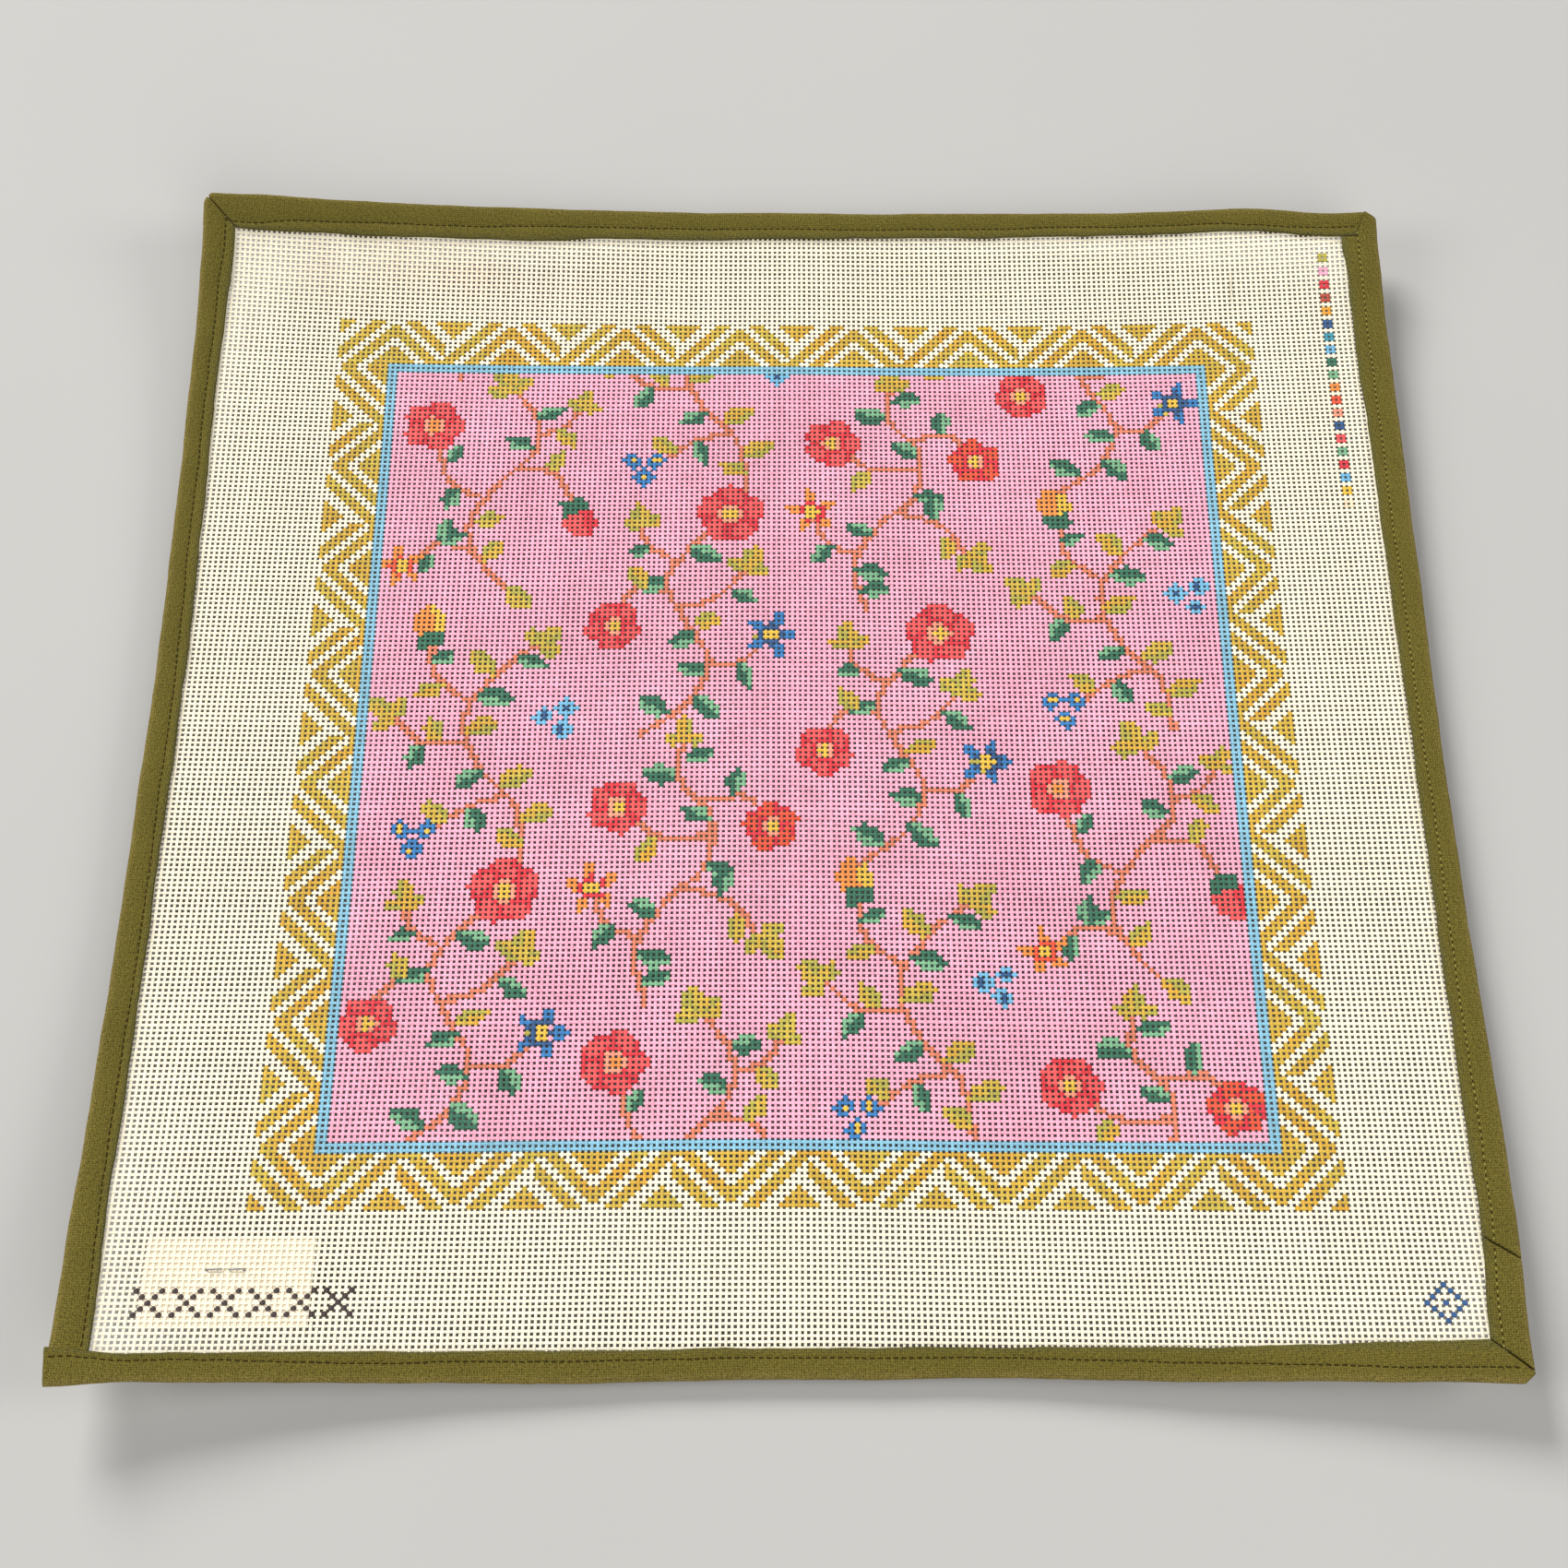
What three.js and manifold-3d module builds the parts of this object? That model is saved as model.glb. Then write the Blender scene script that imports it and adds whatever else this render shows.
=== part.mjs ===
// A painted needlepoint canvas panel: a square of open woven canvas, its four edges bound
// with folded cotton tape, a plain patch stapled behind one corner. It lies face up on a
// flat surface. Its middle is flat and its edges and corners curl up a little.
// Millimetres, +X to the panel's right, +Y to its far edge, +Z up. The origin is on the
// underside at the middle of the canvas.
import * as THREE from "three";
import { mergeVertices } from "three/addons/utils/BufferGeometryUtils.js";
import Module from "manifold-3d";

const wasm = await Module();
wasm.setup();

// Sheets and clearances
const CANVAS_THICK = 1.0;
const TAPE_LEAF = 0.8;
const LABEL_THICK = 1.0;
const CLEARANCE = 0.35;

// Binding
const CANVAS_INSET = 2.6; // from the tape's outer fold to the canvas's cut edge
const HEM_ROUND = 0.3; // the rounding of the tape's inner hems
const UNDER_LEAF_SHORT = 0.6; // the tape's under leaf is narrower than its upper one
const MITRE_GAP = 0.5; // between two tapes, along either one
const FOLD_STEPS = 4; // facets around the outer fold
const LAP_END = { outer: -230.9, inner: -232.4 }; // where the bottom tape's left end lies
const LEFT_TAPE_START = -217.9; // where the left tape stops against the bottom tape
const JOIN = { inner: -182, outer: -190 }; // the slanted join in the right tape

// Label and staple, in flat sheet places
const LABEL = { left: -207.7, right: -153.8, near: -212.0, far: -181.9 };
const STAPLE = { left: -187.6, right: -175.9, along: -193.4, wire: 0.6, legGap: 1.4 };
const STAPLE_HOLE = { width: 1.5, depth: 8 };

// Each tape's outer fold and inner hem, as distances from the sheet's centre, at places
// along that side, from left to right or from near to far.
const SIDES = {
  top: [
    { along: -212, outer: 233.3, inner: 219.0 },
    { along: -115, outer: 233.5, inner: 219.6 },
    { along: -60, outer: 234.1, inner: 221.8 },
    { along: 55, outer: 234.1, inner: 223.2 },
    { along: 155, outer: 232.9, inner: 223.1 },
    { along: 180, outer: 233.2, inner: 223.4 },
    { along: 215, outer: 229.6, inner: 219.5 },
  ],
  bottom: [
    { along: -225, outer: 230.3, inner: 218.3 },
    { along: -190, outer: 229.6, inner: 220.0 },
    { along: -77, outer: 230.6, inner: 220.5 },
    { along: 0, outer: 229.8, inner: 220.0 },
    { along: 69, outer: 228.9, inner: 219.2 },
    { along: 127, outer: 229.6, inner: 218.8 },
    { along: 215, outer: 229.0, inner: 215.9 },
  ],
  left: [
    { along: -217, outer: 231.2, inner: 219.1 },
    { along: -170, outer: 231.9, inner: 220.9 },
    { along: -71, outer: 231.7, inner: 221.2 },
    { along: 20, outer: 231.1, inner: 220.5 },
    { along: 158, outer: 232.2, inner: 222.2 },
    { along: 214, outer: 232.4, inner: 220.0 },
  ],
  right: [
    { along: -227, outer: 230.1, inner: 217.6 },
    { along: -170, outer: 232.6, inner: 220.7 },
    { along: -18, outer: 231.0, inner: 220.6 },
    { along: 97, outer: 231.7, inner: 220.0 },
    { along: 202, outer: 231.5, inner: 218.3 },
    { along: 217, outer: 230.8, inner: 216.8 },
  ],
};
const MITRES = {
  topLeft: { outer: [-232.4, 233.3], inner: [-220.0, 219.0] },
  topRight: { outer: [230.8, 229.6], inner: [216.8, 219.5] },
  bottomRight: { outer: [230.1, -229.0], inner: [217.9, -215.9] },
};
const CUTS = [-205, -190, -170, -140, -100, -60, -20, 20, 60, 100, 140, 170, 190, 205];
const OUTER_CUT = 217; // one more line of facets just inside the tape's hem

// How the sheet lies: each edge lifts from a line towards its rim, and each corner more.
const RIM = 230;
const EDGE_CURLS = [
  { side: "left", lift: 7.7, from: 60, power: 2.4 },
  { side: "right", lift: 7.5, from: 60, power: 1.7 },
  { side: "near", lift: 4.0, from: 60, power: 1.7 },
  { side: "far", lift: 6.7, from: 169, power: 1.8 },
];
const CORNER_CURLS = [
  { across: -1, up: 1, lift: 11.0, acrossPower: 1.0, upPower: 2.3 },
  { across: 1, up: 1, lift: 5.3, acrossPower: 1.0, upPower: 1.7 },
  { across: -1, up: -1, lift: 11.1, acrossPower: 1.5, upPower: 2.1 },
  { across: 1, up: -1, lift: 3.9, acrossPower: 1.0, upPower: 4.5 },
];
const CORNER_FROM = 40;
const BOW = { left: 5.3, leftPower: 1.95, right: 3.35, rightPower: 1.4 };
const LEAN = 0.0018;

// 0 up to a line, rising to 1 at the rim and a little past it
function reach(distance, from) {
  return Math.max(distance - from, 0) / (RIM - from);
}

// Height of the underside over the surface that the panel lies on
function rise(u, v) {
  const outward = { left: -u, right: u, near: -v, far: v };
  let height = 0;
  for (const { side, lift, from, power } of EDGE_CURLS) {
    height += lift * reach(outward[side], from) ** power;
  }
  for (const { across, up, lift, acrossPower, upPower } of CORNER_CURLS) {
    const sideways = reach(across * u, CORNER_FROM) ** acrossPower;
    height += lift * sideways * reach(up * v, CORNER_FROM) ** upPower;
  }
  return height;
}

// The cross threads bow: their ends hang back from their middle.
function bow(u) {
  if (u < 0) return -BOW.left * (-u / RIM) ** BOW.leftPower;
  return -BOW.right * (u / RIM) ** BOW.rightPower;
}

// Lays a flat solid down as the panel lies: every point takes the sheet's lean, bow and curl.
function lay(geometry) {
  const points = geometry.getAttribute("position");
  for (let i = 0; i < points.count; i++) {
    const u = points.getX(i);
    const v = points.getY(i);
    points.setXYZ(i, u + LEAN * v, v + bow(u), points.getZ(i) + rise(u, v));
  }
  return geometry;
}

// A column of a side's table at any place along it, eased from row to row
function edgeAt(side, column, along) {
  const rows = SIDES[side];
  const next = rows.findIndex((row) => row.along > along);
  if (next === 0) return rows[0][column];
  if (next < 0) return rows[rows.length - 1][column];
  const [a, b] = [rows[next - 1], rows[next]];
  const share = THREE.MathUtils.smoothstep(along, a.along, b.along);
  return THREE.MathUtils.lerp(a[column], b[column], share);
}

// Triangles as a closed body, turned so that its faces point out
function closedBody(vertices, triangles) {
  const corner = [new THREE.Vector3(), new THREE.Vector3(), new THREE.Vector3()];
  let volume = 0;
  for (const triangle of triangles) {
    triangle.forEach((index, k) => corner[k].fromArray(vertices[index]));
    volume += corner[0].dot(corner[1].clone().cross(corner[2]));
  }
  const outward = volume > 0 ? triangles : triangles.map(([a, b, c]) => [a, c, b]);
  const geometry = new THREE.BufferGeometry();
  geometry.setAttribute("position", new THREE.Float32BufferAttribute(vertices.flat(), 3));
  geometry.setIndex(outward.flat());
  return geometry;
}

// A sheet between two heights over a grid of places: place(column, row) gives [u, v].
function slab(columns, rows, place, low, high) {
  const vertices = [];
  const triangles = [];
  const across = columns.length;
  const layer = across * rows.length;
  for (const height of [low, high]) {
    for (const row of rows) {
      for (const column of columns) vertices.push([...place(column, row), height]);
    }
  }
  const quad = (a, b, c, d) => triangles.push([a, b, c], [a, c, d]);
  for (let r = 0; r + 1 < rows.length; r++) {
    for (let c = 0; c + 1 < across; c++) {
      const a = r * across + c;
      quad(a, a + across, a + across + 1, a + 1);
      quad(layer + a, layer + a + 1, layer + a + across + 1, layer + a + across);
    }
  }
  const lastRow = layer - across;
  for (let c = 0; c + 1 < across; c++) {
    quad(c, c + 1, layer + c + 1, layer + c);
    quad(lastRow + c + 1, lastRow + c, layer + lastRow + c, layer + lastRow + c + 1);
  }
  for (let a = 0; a < lastRow; a += across) {
    const b = a + across - 1;
    quad(a + across, a, layer + a, layer + a + across);
    quad(b, b + across, layer + b + across, layer + b);
  }
  return closedBody(vertices, triangles);
}

// The tape's folded section: [distance in from the outer fold, height over mid canvas].
// It goes over the upper leaf, round the fold, under the lower leaf and back inside.
function tapeSection(width) {
  const inside = CANVAS_THICK / 2 + CLEARANCE;
  const outside = inside + TAPE_LEAF;
  const underWidth = width - UNDER_LEAF_SHORT;
  const angles = [];
  for (let k = 0; k <= FOLD_STEPS; k++) angles.push(Math.PI * (0.5 - k / FOLD_STEPS));
  const fold = (radius) => (angle) => [
    outside - radius * Math.cos(angle),
    radius * Math.sin(angle),
  ];
  return [
    [width, inside],
    [width, outside - HEM_ROUND],
    [width - HEM_ROUND, outside],
    ...angles.map(fold(outside)),
    [underWidth - HEM_ROUND, -outside],
    [underWidth, HEM_ROUND - outside],
    [underWidth, -inside],
    ...angles.map(fold(inside)).reverse(),
  ];
}

// One length of folded tape along a side. Each cut is the place of its outer and inner ends.
function tape(side, cuts) {
  const upright = side === "left" || side === "right";
  const sign = side === "left" || side === "bottom" ? -1 : 1;
  const midCanvas = CANVAS_THICK / 2;
  const vertices = [];
  const triangles = [];
  let section;
  for (const cut of cuts) {
    const outer = edgeAt(side, "outer", cut.outer);
    const inner = edgeAt(side, "inner", cut.inner);
    section = tapeSection(outer - inner);
    for (const [inward, height] of section) {
      const share = inward / (outer - inner);
      const along = THREE.MathUtils.lerp(cut.outer, cut.inner, share);
      const out = sign * THREE.MathUtils.lerp(outer, inner, share);
      vertices.push(upright ? [out, along, midCanvas + height] : [along, out, midCanvas + height]);
    }
  }
  const count = section.length;
  for (let s = 0; s + 1 < cuts.length; s++) {
    for (let k = 0; k < count; k++) {
      const a = s * count + k;
      const b = s * count + ((k + 1) % count);
      triangles.push([a, b, b + count], [a, b + count, a + count]);
    }
  }
  const flat = section.map(([inward, height]) => new THREE.Vector2(inward, height));
  const last = (cuts.length - 1) * count;
  for (const [a, b, c] of THREE.ShapeUtils.triangulateShape(flat, [])) {
    triangles.push([a, c, b], [last + a, last + b, last + c]);
  }
  return closedBody(vertices, triangles);
}

// The cuts of a tape between two ends, with the sheet's own lines of facets between them
function cutsBetween(start, end) {
  const low = Math.max(start.outer, start.inner);
  const high = Math.min(end.outer, end.inner);
  const between = CUTS.filter((cut) => cut > low + 1 && cut < high - 1);
  return [start, ...between.map((cut) => ({ outer: cut, inner: cut })), end];
}

// A mitred end: axis 0 for a tape that runs across the panel, 1 for one that runs up it
function mitred(corner, axis, shift) {
  const { outer, inner } = MITRES[corner];
  return { outer: outer[axis] + shift, inner: inner[axis] + shift };
}

function square(place) {
  return { outer: place, inner: place };
}

// A closed geometry as a solid for cutting, and back again
function solidOf(geometry) {
  const bare = geometry.clone();
  bare.deleteAttribute("normal");
  bare.deleteAttribute("uv");
  const merged = mergeVertices(bare);
  return new wasm.Manifold(
    new wasm.Mesh({
      numProp: 3,
      vertProperties: merged.getAttribute("position").array,
      triVerts: new Uint32Array(merged.index.array),
    }),
  );
}

function geometryOf(solid) {
  const mesh = solid.getMesh();
  const geometry = new THREE.BufferGeometry();
  geometry.setAttribute("position", new THREE.BufferAttribute(mesh.vertProperties, 3));
  geometry.setIndex(new THREE.BufferAttribute(mesh.triVerts, 1));
  return geometry;
}

// Cuts the two holes that the staple's legs pass through.
function pierced(geometry) {
  let solid = solidOf(geometry);
  for (const place of [STAPLE.left, STAPLE.right]) {
    const { width, depth } = STAPLE_HOLE;
    const leg = new THREE.BoxGeometry(width, width, depth);
    leg.translate(place, STAPLE.along, 0);
    solid = solid.subtract(solidOf(leg));
  }
  return geometryOf(solid);
}

// The canvas, its cut edges inside the tape's folds
function canvas() {
  const past = SIDES.top[0].outer; // a line past the canvas, brought back to its edge by place
  const lines = [-past, -OUTER_CUT, ...CUTS, OUTER_CUT, past];
  const place = (u, v) => {
    const left = -edgeAt("left", "outer", v) + CANVAS_INSET;
    const right = edgeAt("right", "outer", v) - CANVAS_INSET;
    const near = -edgeAt("bottom", "outer", u) + CANVAS_INSET;
    const far = edgeAt("top", "outer", u) - CANVAS_INSET;
    return [THREE.MathUtils.clamp(u, left, right), THREE.MathUtils.clamp(v, near, far)];
  };
  return pierced(slab(lines, lines, place, 0, CANVAS_THICK));
}

// The patch behind the canvas
function label() {
  const steps = (from, to, count) =>
    Array.from({ length: count + 1 }, (_, k) => THREE.MathUtils.lerp(from, to, k / count));
  const high = -CLEARANCE;
  const columns = steps(LABEL.left, LABEL.right, 4);
  const rows = steps(LABEL.near, LABEL.far, 2);
  return pierced(slab(columns, rows, (u, v) => [u, v], high - LABEL_THICK, high));
}

// The staple: its crown under the patch, its legs up through both and folded in on the front
function staple() {
  const { left, right, along, wire, legGap } = STAPLE;
  const half = wire / 2;
  const middle = (left + right) / 2;
  const crownTop = -CLEARANCE - LABEL_THICK - CLEARANCE;
  const legsLow = CANVAS_THICK + CLEARANCE;
  const outline = new THREE.Shape();
  outline.moveTo(left - half, crownTop - wire);
  outline.lineTo(right + half, crownTop - wire);
  outline.lineTo(right + half, legsLow + wire);
  outline.lineTo(middle + legGap / 2, legsLow + wire);
  outline.lineTo(middle + legGap / 2, legsLow);
  outline.lineTo(right - half, legsLow);
  outline.lineTo(right - half, crownTop);
  outline.lineTo(left + half, crownTop);
  outline.lineTo(left + half, legsLow);
  outline.lineTo(middle - legGap / 2, legsLow);
  outline.lineTo(middle - legGap / 2, legsLow + wire);
  outline.lineTo(left - half, legsLow + wire);
  const geometry = new THREE.ExtrudeGeometry(outline, { depth: wire, bevelEnabled: false });
  geometry.rotateX(Math.PI / 2);
  geometry.translate(0, along + half, 0);
  return geometry;
}

const FINISH = {
  canvas: { color: 0xe9e0cf, roughness: 0.9, metalness: 0 },
  tape: { color: 0x6e6a33, roughness: 0.95, metalness: 0 },
  label: { color: 0xece6d6, roughness: 0.85, metalness: 0 },
  staple: { color: 0x8d8f92, roughness: 0.35, metalness: 0.9 },
};

function piece(name, geometry, finish) {
  const mesh = new THREE.Mesh(lay(geometry), new THREE.MeshStandardMaterial(FINISH[finish]));
  mesh.name = name;
  return mesh;
}

const mitreHalf = MITRE_GAP / 2;
const leftCuts = cutsBetween(square(LEFT_TAPE_START), mitred("topLeft", 1, -mitreHalf));
const topCuts = cutsBetween(mitred("topLeft", 0, mitreHalf), mitred("topRight", 0, -mitreHalf));
const bottomCuts = cutsBetween(LAP_END, mitred("bottomRight", 0, -mitreHalf));
const beforeJoin = { outer: JOIN.outer + mitreHalf, inner: JOIN.inner + mitreHalf };
const afterJoin = { outer: JOIN.outer - mitreHalf, inner: JOIN.inner - mitreHalf };
const rightCuts = cutsBetween(beforeJoin, mitred("topRight", 1, -mitreHalf));
const endCuts = cutsBetween(mitred("bottomRight", 1, mitreHalf), afterJoin);

const panel = new THREE.Group();
panel.name = "needlepoint_panel";
panel.add(
  piece("canvas", canvas(), "canvas"),
  piece("binding_left", tape("left", leftCuts), "tape"),
  piece("binding_top", tape("top", topCuts), "tape"),
  piece("binding_right", tape("right", rightCuts), "tape"),
  piece("binding_right_end", tape("right", endCuts), "tape"),
  piece("binding_bottom", tape("bottom", bottomCuts), "tape"),
  piece("label", label(), "label"),
  piece("staple", staple(), "staple"),
);

export default panel;
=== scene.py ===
"""A painted needlepoint canvas panel with bound edges, lying face up, its corners curled.

The sheet is worked out flat, in millimetres: u runs to the panel's right, v to its far edge.
Every point then takes the sheet's lean, bow and curl, and becomes metres in its mesh.
Threads are counted from a hole near the near edge: crossing (i, j) lies between holes i
and i + 1 across, and j and j + 1 up, and the sheet's centre is at CENTRE_HOLE.
"""

import math

import bpy
import numpy as np
from mathutils import Matrix, Vector


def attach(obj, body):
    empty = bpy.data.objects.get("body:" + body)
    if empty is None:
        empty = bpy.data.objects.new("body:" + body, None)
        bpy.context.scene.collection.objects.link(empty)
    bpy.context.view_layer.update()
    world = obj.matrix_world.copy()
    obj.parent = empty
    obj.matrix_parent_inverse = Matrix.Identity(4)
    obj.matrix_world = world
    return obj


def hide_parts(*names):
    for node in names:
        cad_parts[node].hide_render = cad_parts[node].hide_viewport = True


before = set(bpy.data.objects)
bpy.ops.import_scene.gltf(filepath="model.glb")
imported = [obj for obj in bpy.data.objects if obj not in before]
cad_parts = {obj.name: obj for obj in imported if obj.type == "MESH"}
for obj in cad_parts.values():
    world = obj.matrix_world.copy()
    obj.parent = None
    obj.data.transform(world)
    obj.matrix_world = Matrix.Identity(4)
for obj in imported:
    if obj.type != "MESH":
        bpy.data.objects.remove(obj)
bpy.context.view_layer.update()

bl_info = {
    "name": "Needlepoint canvas panel",
    "version": (1, 0, 0),
    "blender": (4, 5, 0),
    "location": "3D View > Sidebar > Canvas",
    "description": "Builds a painted needlepoint canvas with cotton-bound edges",
    "category": "Object",
}

MM = 0.001
BODY = "root"
SEED = 13
PITCH = 25.4 / 13  # from thread to thread, 13 to the inch

# The sheet as it lies: each edge lifts from a line towards its rim, and each corner more
RIM = 230.0
EDGE_CURLS = {
    "left": {"lift": 7.7, "start": 60, "power": 2.4},
    "right": {"lift": 7.5, "start": 60, "power": 1.7},
    "near": {"lift": 4.0, "start": 60, "power": 1.7},
    "far": {"lift": 6.7, "start": 169, "power": 1.8},
}
CORNER_CURLS = [
    {"across": -1, "up": 1, "lift": 11.0, "across_power": 1.0, "up_power": 2.3},
    {"across": 1, "up": 1, "lift": 5.3, "across_power": 1.0, "up_power": 1.7},
    {"across": -1, "up": -1, "lift": 11.1, "across_power": 1.5, "up_power": 2.1},
    {"across": 1, "up": -1, "lift": 3.9, "across_power": 1.0, "up_power": 4.5},
]
CORNER_START = 40  # how far out the corners' lift starts
BOW = {"left": 5.3, "left_power": 1.95, "right": 3.35, "right_power": 1.4}
LEAN = 0.0018  # how far the sheet leans right for each millimetre up it
CANVAS_MIDDLE = 0.5  # height of the canvas's middle over its underside

# Places on the canvas, counted in threads
CENTRE_HOLE = {"i": 10, "j": 100}
WEAVE_SPAN = {"left": -105, "right": 124, "near": -14, "far": 216}
BORDER = {"left": -81, "right": 102, "near": 11, "far": 194, "wide": 10, "line": 2}
REPEAT = 23
CORNER_PEAKS = {"left": -70, "right": 91, "near": 22, "far": 183}
GOLD_BANDS = {"peak": 5, "inner": (8, 10), "outer": (13, 15), "valley": 19}
KEY = {"i": 116, "first": 207, "step": 3, "size": 2}
KEY_PAINTS = [
    "olive", "pink", "red", "russet", "amber", "navy", "teal", "sky", "deep_green", "green",
    "orange", "scarlet", "salmon", "navy", "coral", "green", "red", "sky", "yellow", "peach",
]
CROSS_MARKS = {"first": -97, "near": -7, "size": 5, "step": 6, "count": 6}
DIAMOND_MARK = {"i": 115, "j": -5, "size": 3}
STRIPS = 5  # pieces that the canvas is woven in
UNDER_WIDTH = 0.78  # a thread's width below, over its width above

# How much of its colour a thread's side keeps, over open holes and over the patch: painted shade for
# the depth of the holes
SIDE_SHADE = {"open": 0.26, "patched": 0.95}
# Thin paint on the threads' undersides: the paint's share, and the cream under it
UNDER_PAINT = {"paint": 0.62, "bare": 0.38, "cream": (0.93, 0.88, 0.80)}
# How much the paint varies, in broad and small patches and from crossing to crossing, and
# how much of that a bare thread has
UNEVEN_PAINT = {"broad": 0.07, "small": 0.05, "each": 0.07, "bare": 0.35}
# The gold's warmth varies as well: red falls a little as green and blue rise
GOLD_DRIFT = {"patches": 0.13, "each": 0.07, "channels": (-0.4, 0.8, 2.2)}
WHOLE_SHIFT = 0.35  # a thread as a whole lies off its place by this share of the wander
CLOUD_SPACING = 12  # crossings from point to point of the wander's soft patches
# How much the threads' widths vary, from thread to thread and from crossing to crossing
PLUMP = {"thread": 0.05, "crossing": 0.03}
# Faint stains in the margin, the last one a pencil mark
STAINS = [
    {"i": -86, "j": 204, "wide": 6, "tall": 6, "paint": "scarlet", "strength": 0.09},
    {"i": -72, "j": 206, "wide": 6, "tall": 5, "paint": "orange", "strength": 0.10},
    {"i": -78, "j": 197, "wide": 5, "tall": 4, "paint": "red", "strength": 0.07},
    {"i": -58, "j": 204, "wide": 9, "tall": 5, "paint": "orange", "strength": 0.13},
    {"i": -40, "j": 202, "wide": 22, "tall": 8, "paint": "pink", "strength": 0.10},
    {"i": 98, "j": 201, "wide": 0.4, "tall": 3.0, "paint": "brown", "strength": 0.24},
]

# Each tape's edges, as places along that side from left to right or from near to far, and
# there the distances of its outer fold and inner hem from the sheet's centre
SIDES = {
    "top": [
        (-229, 232.7, 219.4), (-208, 233.3, 219.0), (-115, 233.5, 219.6), (-60, 234.1, 221.8),
        (55, 234.1, 223.2), (155, 232.9, 223.1), (180, 233.2, 223.4), (215, 229.6, 219.5),
    ],
    "bottom": [
        (-231, 230.7, 218.3), (-209, 229.5, 220.7), (-190, 229.5, 220.2), (-77, 230.6, 220.5),
        (0, 229.8, 220.0), (69, 228.9, 219.2), (127, 229.6, 218.8), (205, 229.4, 216.6),
        (226, 230.1, 215.9),
    ],
    "left": [
        (-217, 231.2, 219.1), (-170, 231.9, 220.9), (-71, 231.7, 221.2), (20, 231.1, 220.5),
        (158, 232.2, 222.2), (214, 232.4, 220.0),
    ],
    "right": [
        (-227, 230.1, 217.6), (-170, 232.6, 220.7), (-18, 231.0, 220.6), (97, 231.7, 220.0),
        (202, 231.5, 218.3), (217, 230.8, 216.8),
    ],
}
OUTER, INNER = 1, 2  # columns of those rows
# Where the sewn line runs: places along each side, and how far in from the outer fold
SEWN_LINES = {
    "top": [(-220, 11.4), (-198, 9.9), (-172, 9.1), (-130, 8.9), (-95, 7.9), (80, 7.5),
            (105, 6.6), (170, 6.6), (187, 7.6), (212, 6.5)],
    "bottom": [(-225, 9.1), (-200, 8.4), (-168, 6.5), (-140, 5.9), (-85, 6.7), (20, 6.6),
               (60, 6.1), (110, 5.9), (200, 4.4), (222, 4.8)],
    "left": [(-219, 10.1), (-182, 9.2), (-145, 8.0), (-80, 8.0), (10, 7.4), (60, 6.9),
             (80, 6.4), (150, 6.5), (200, 7.4), (220, 8.8)],
    "right": [(-215, 8.5), (-172, 7.8), (-112, 7.5), (-65, 6.6), (-20, 6.4), (10, 6.9),
              (65, 7.1), (90, 7.6), (220, 7.7)],
}
# Each length of tape: its side, and its two ends, each as places along that side at
# distances in from the outer fold. They make the mitres and the cut corners.
TAPES = {
    "binding_left": {
        "side": "left",
        "start": [(0, -219.1), (6, -219.4), (12, -220.3)],
        "stop": [(0, 228.6), (1.5, 230.95), (12.6, 219.2)],
    },
    "binding_top": {
        "side": "top",
        "start": [(0, -229.2), (1.6, -230.75), (13.3, -219.65)],
        "stop": [(0, 226.5), (0.5, 226.7), (8.6, 223.2), (10, 223.0)],
    },
    "binding_right": {
        "side": "right",
        "start": [(0, -189.75), (12, -181.75)],
        "stop": [(0, 226.4), (4.5, 229.5), (7.65, 221.0), (7.75, 219.2), (14, 219.1)],
    },
    "binding_right_end": {
        "side": "right",
        "start": [(0, -225.9), (12.5, -215.6)],
        "stop": [(0, -190.25), (12, -182.25)],
    },
    "binding_bottom": {
        "side": "bottom",
        "start": [(0, -230.8), (12, -232.4)],
        "stop": [(0, 226.5), (3.2, 230.1), (3.6, 229.9), (14.2, 217.5)],
    },
}
HEM_DEPTH = 12.0  # about how far in the hem lies
SETTLED = 12.0  # the tape's edges waver less than this near its ends
TAPE_HALF = 1.65  # from the middle of the canvas to the tape's outer face
TAPE_SLOT = 0.85  # radius of the hollow inside the fold
SLOT_FLAT = 0.9  # the hollow's height over that
UNDER_SHORT = 0.6  # the under leaf is this much narrower
HEM_CLEAR = 2.3  # the sewn line keeps this far from the hem
# How far the fold, the hem and the sewn line waver
TAPE_WAVER = {"fold": 0.22, "hem": 0.30, "sewn": 0.10}
TAPE_ENDS = [0, 0.25, 0.7]  # rows of points close to each end
TAPE_END_CLEAR = 1.5  # the even rows of points start this far from the end
# The tape's ends are rounded off: the share of its height that is left at the very end, the
# rest of it, and how far in from the end it is whole
END_ROUND = {"least": 0.55, "rest": 0.45, "reach": 0.9}
FOLD = {"angle": 75, "steps": 6}  # degrees that the fold turns each way, and its rows
# A stitch: its share of the pitch, where its rings are along it, its radius, how clear it
# stays of the tape's end, its girth from end to end, how it lies to the tape's face, there
# and where the sewing turns
STITCH = {
    "long": 0.80,
    "rings": (0.0, 0.16, 0.84, 1.0),
    "radius": 0.24,
    "margin": 0.9,
    "girth": (0.45, 1.0, 1.0, 0.45),
    "drawn": -0.26,
    "turned": -0.16,
}
STITCH_HEIGHTS = np.array([-0.26, 0.02, 0.02, -0.26])
# Where the sewing turns the near right corner, over the mitre
SEWN_TURN = [(220.9, -220.0), (220.8, -222.0), (220.6, -224.2)]
ROD_POINTS = 16  # each stitch has four rings of four points
LABEL = {"left": -207.7, "right": -153.8, "near": -212.0, "far": -181.9, "thick": 0.45}
LABEL_PRESS = {"low": -0.04, "rise": 0.68, "slack": 0.05}
STAPLE = {"left": -187.6, "right": -175.9, "along": -193.4, "crown": -1.95, "legs": 1.42}
STAPLE_WIRE = {"radius": 0.28, "sides": 8}

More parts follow.
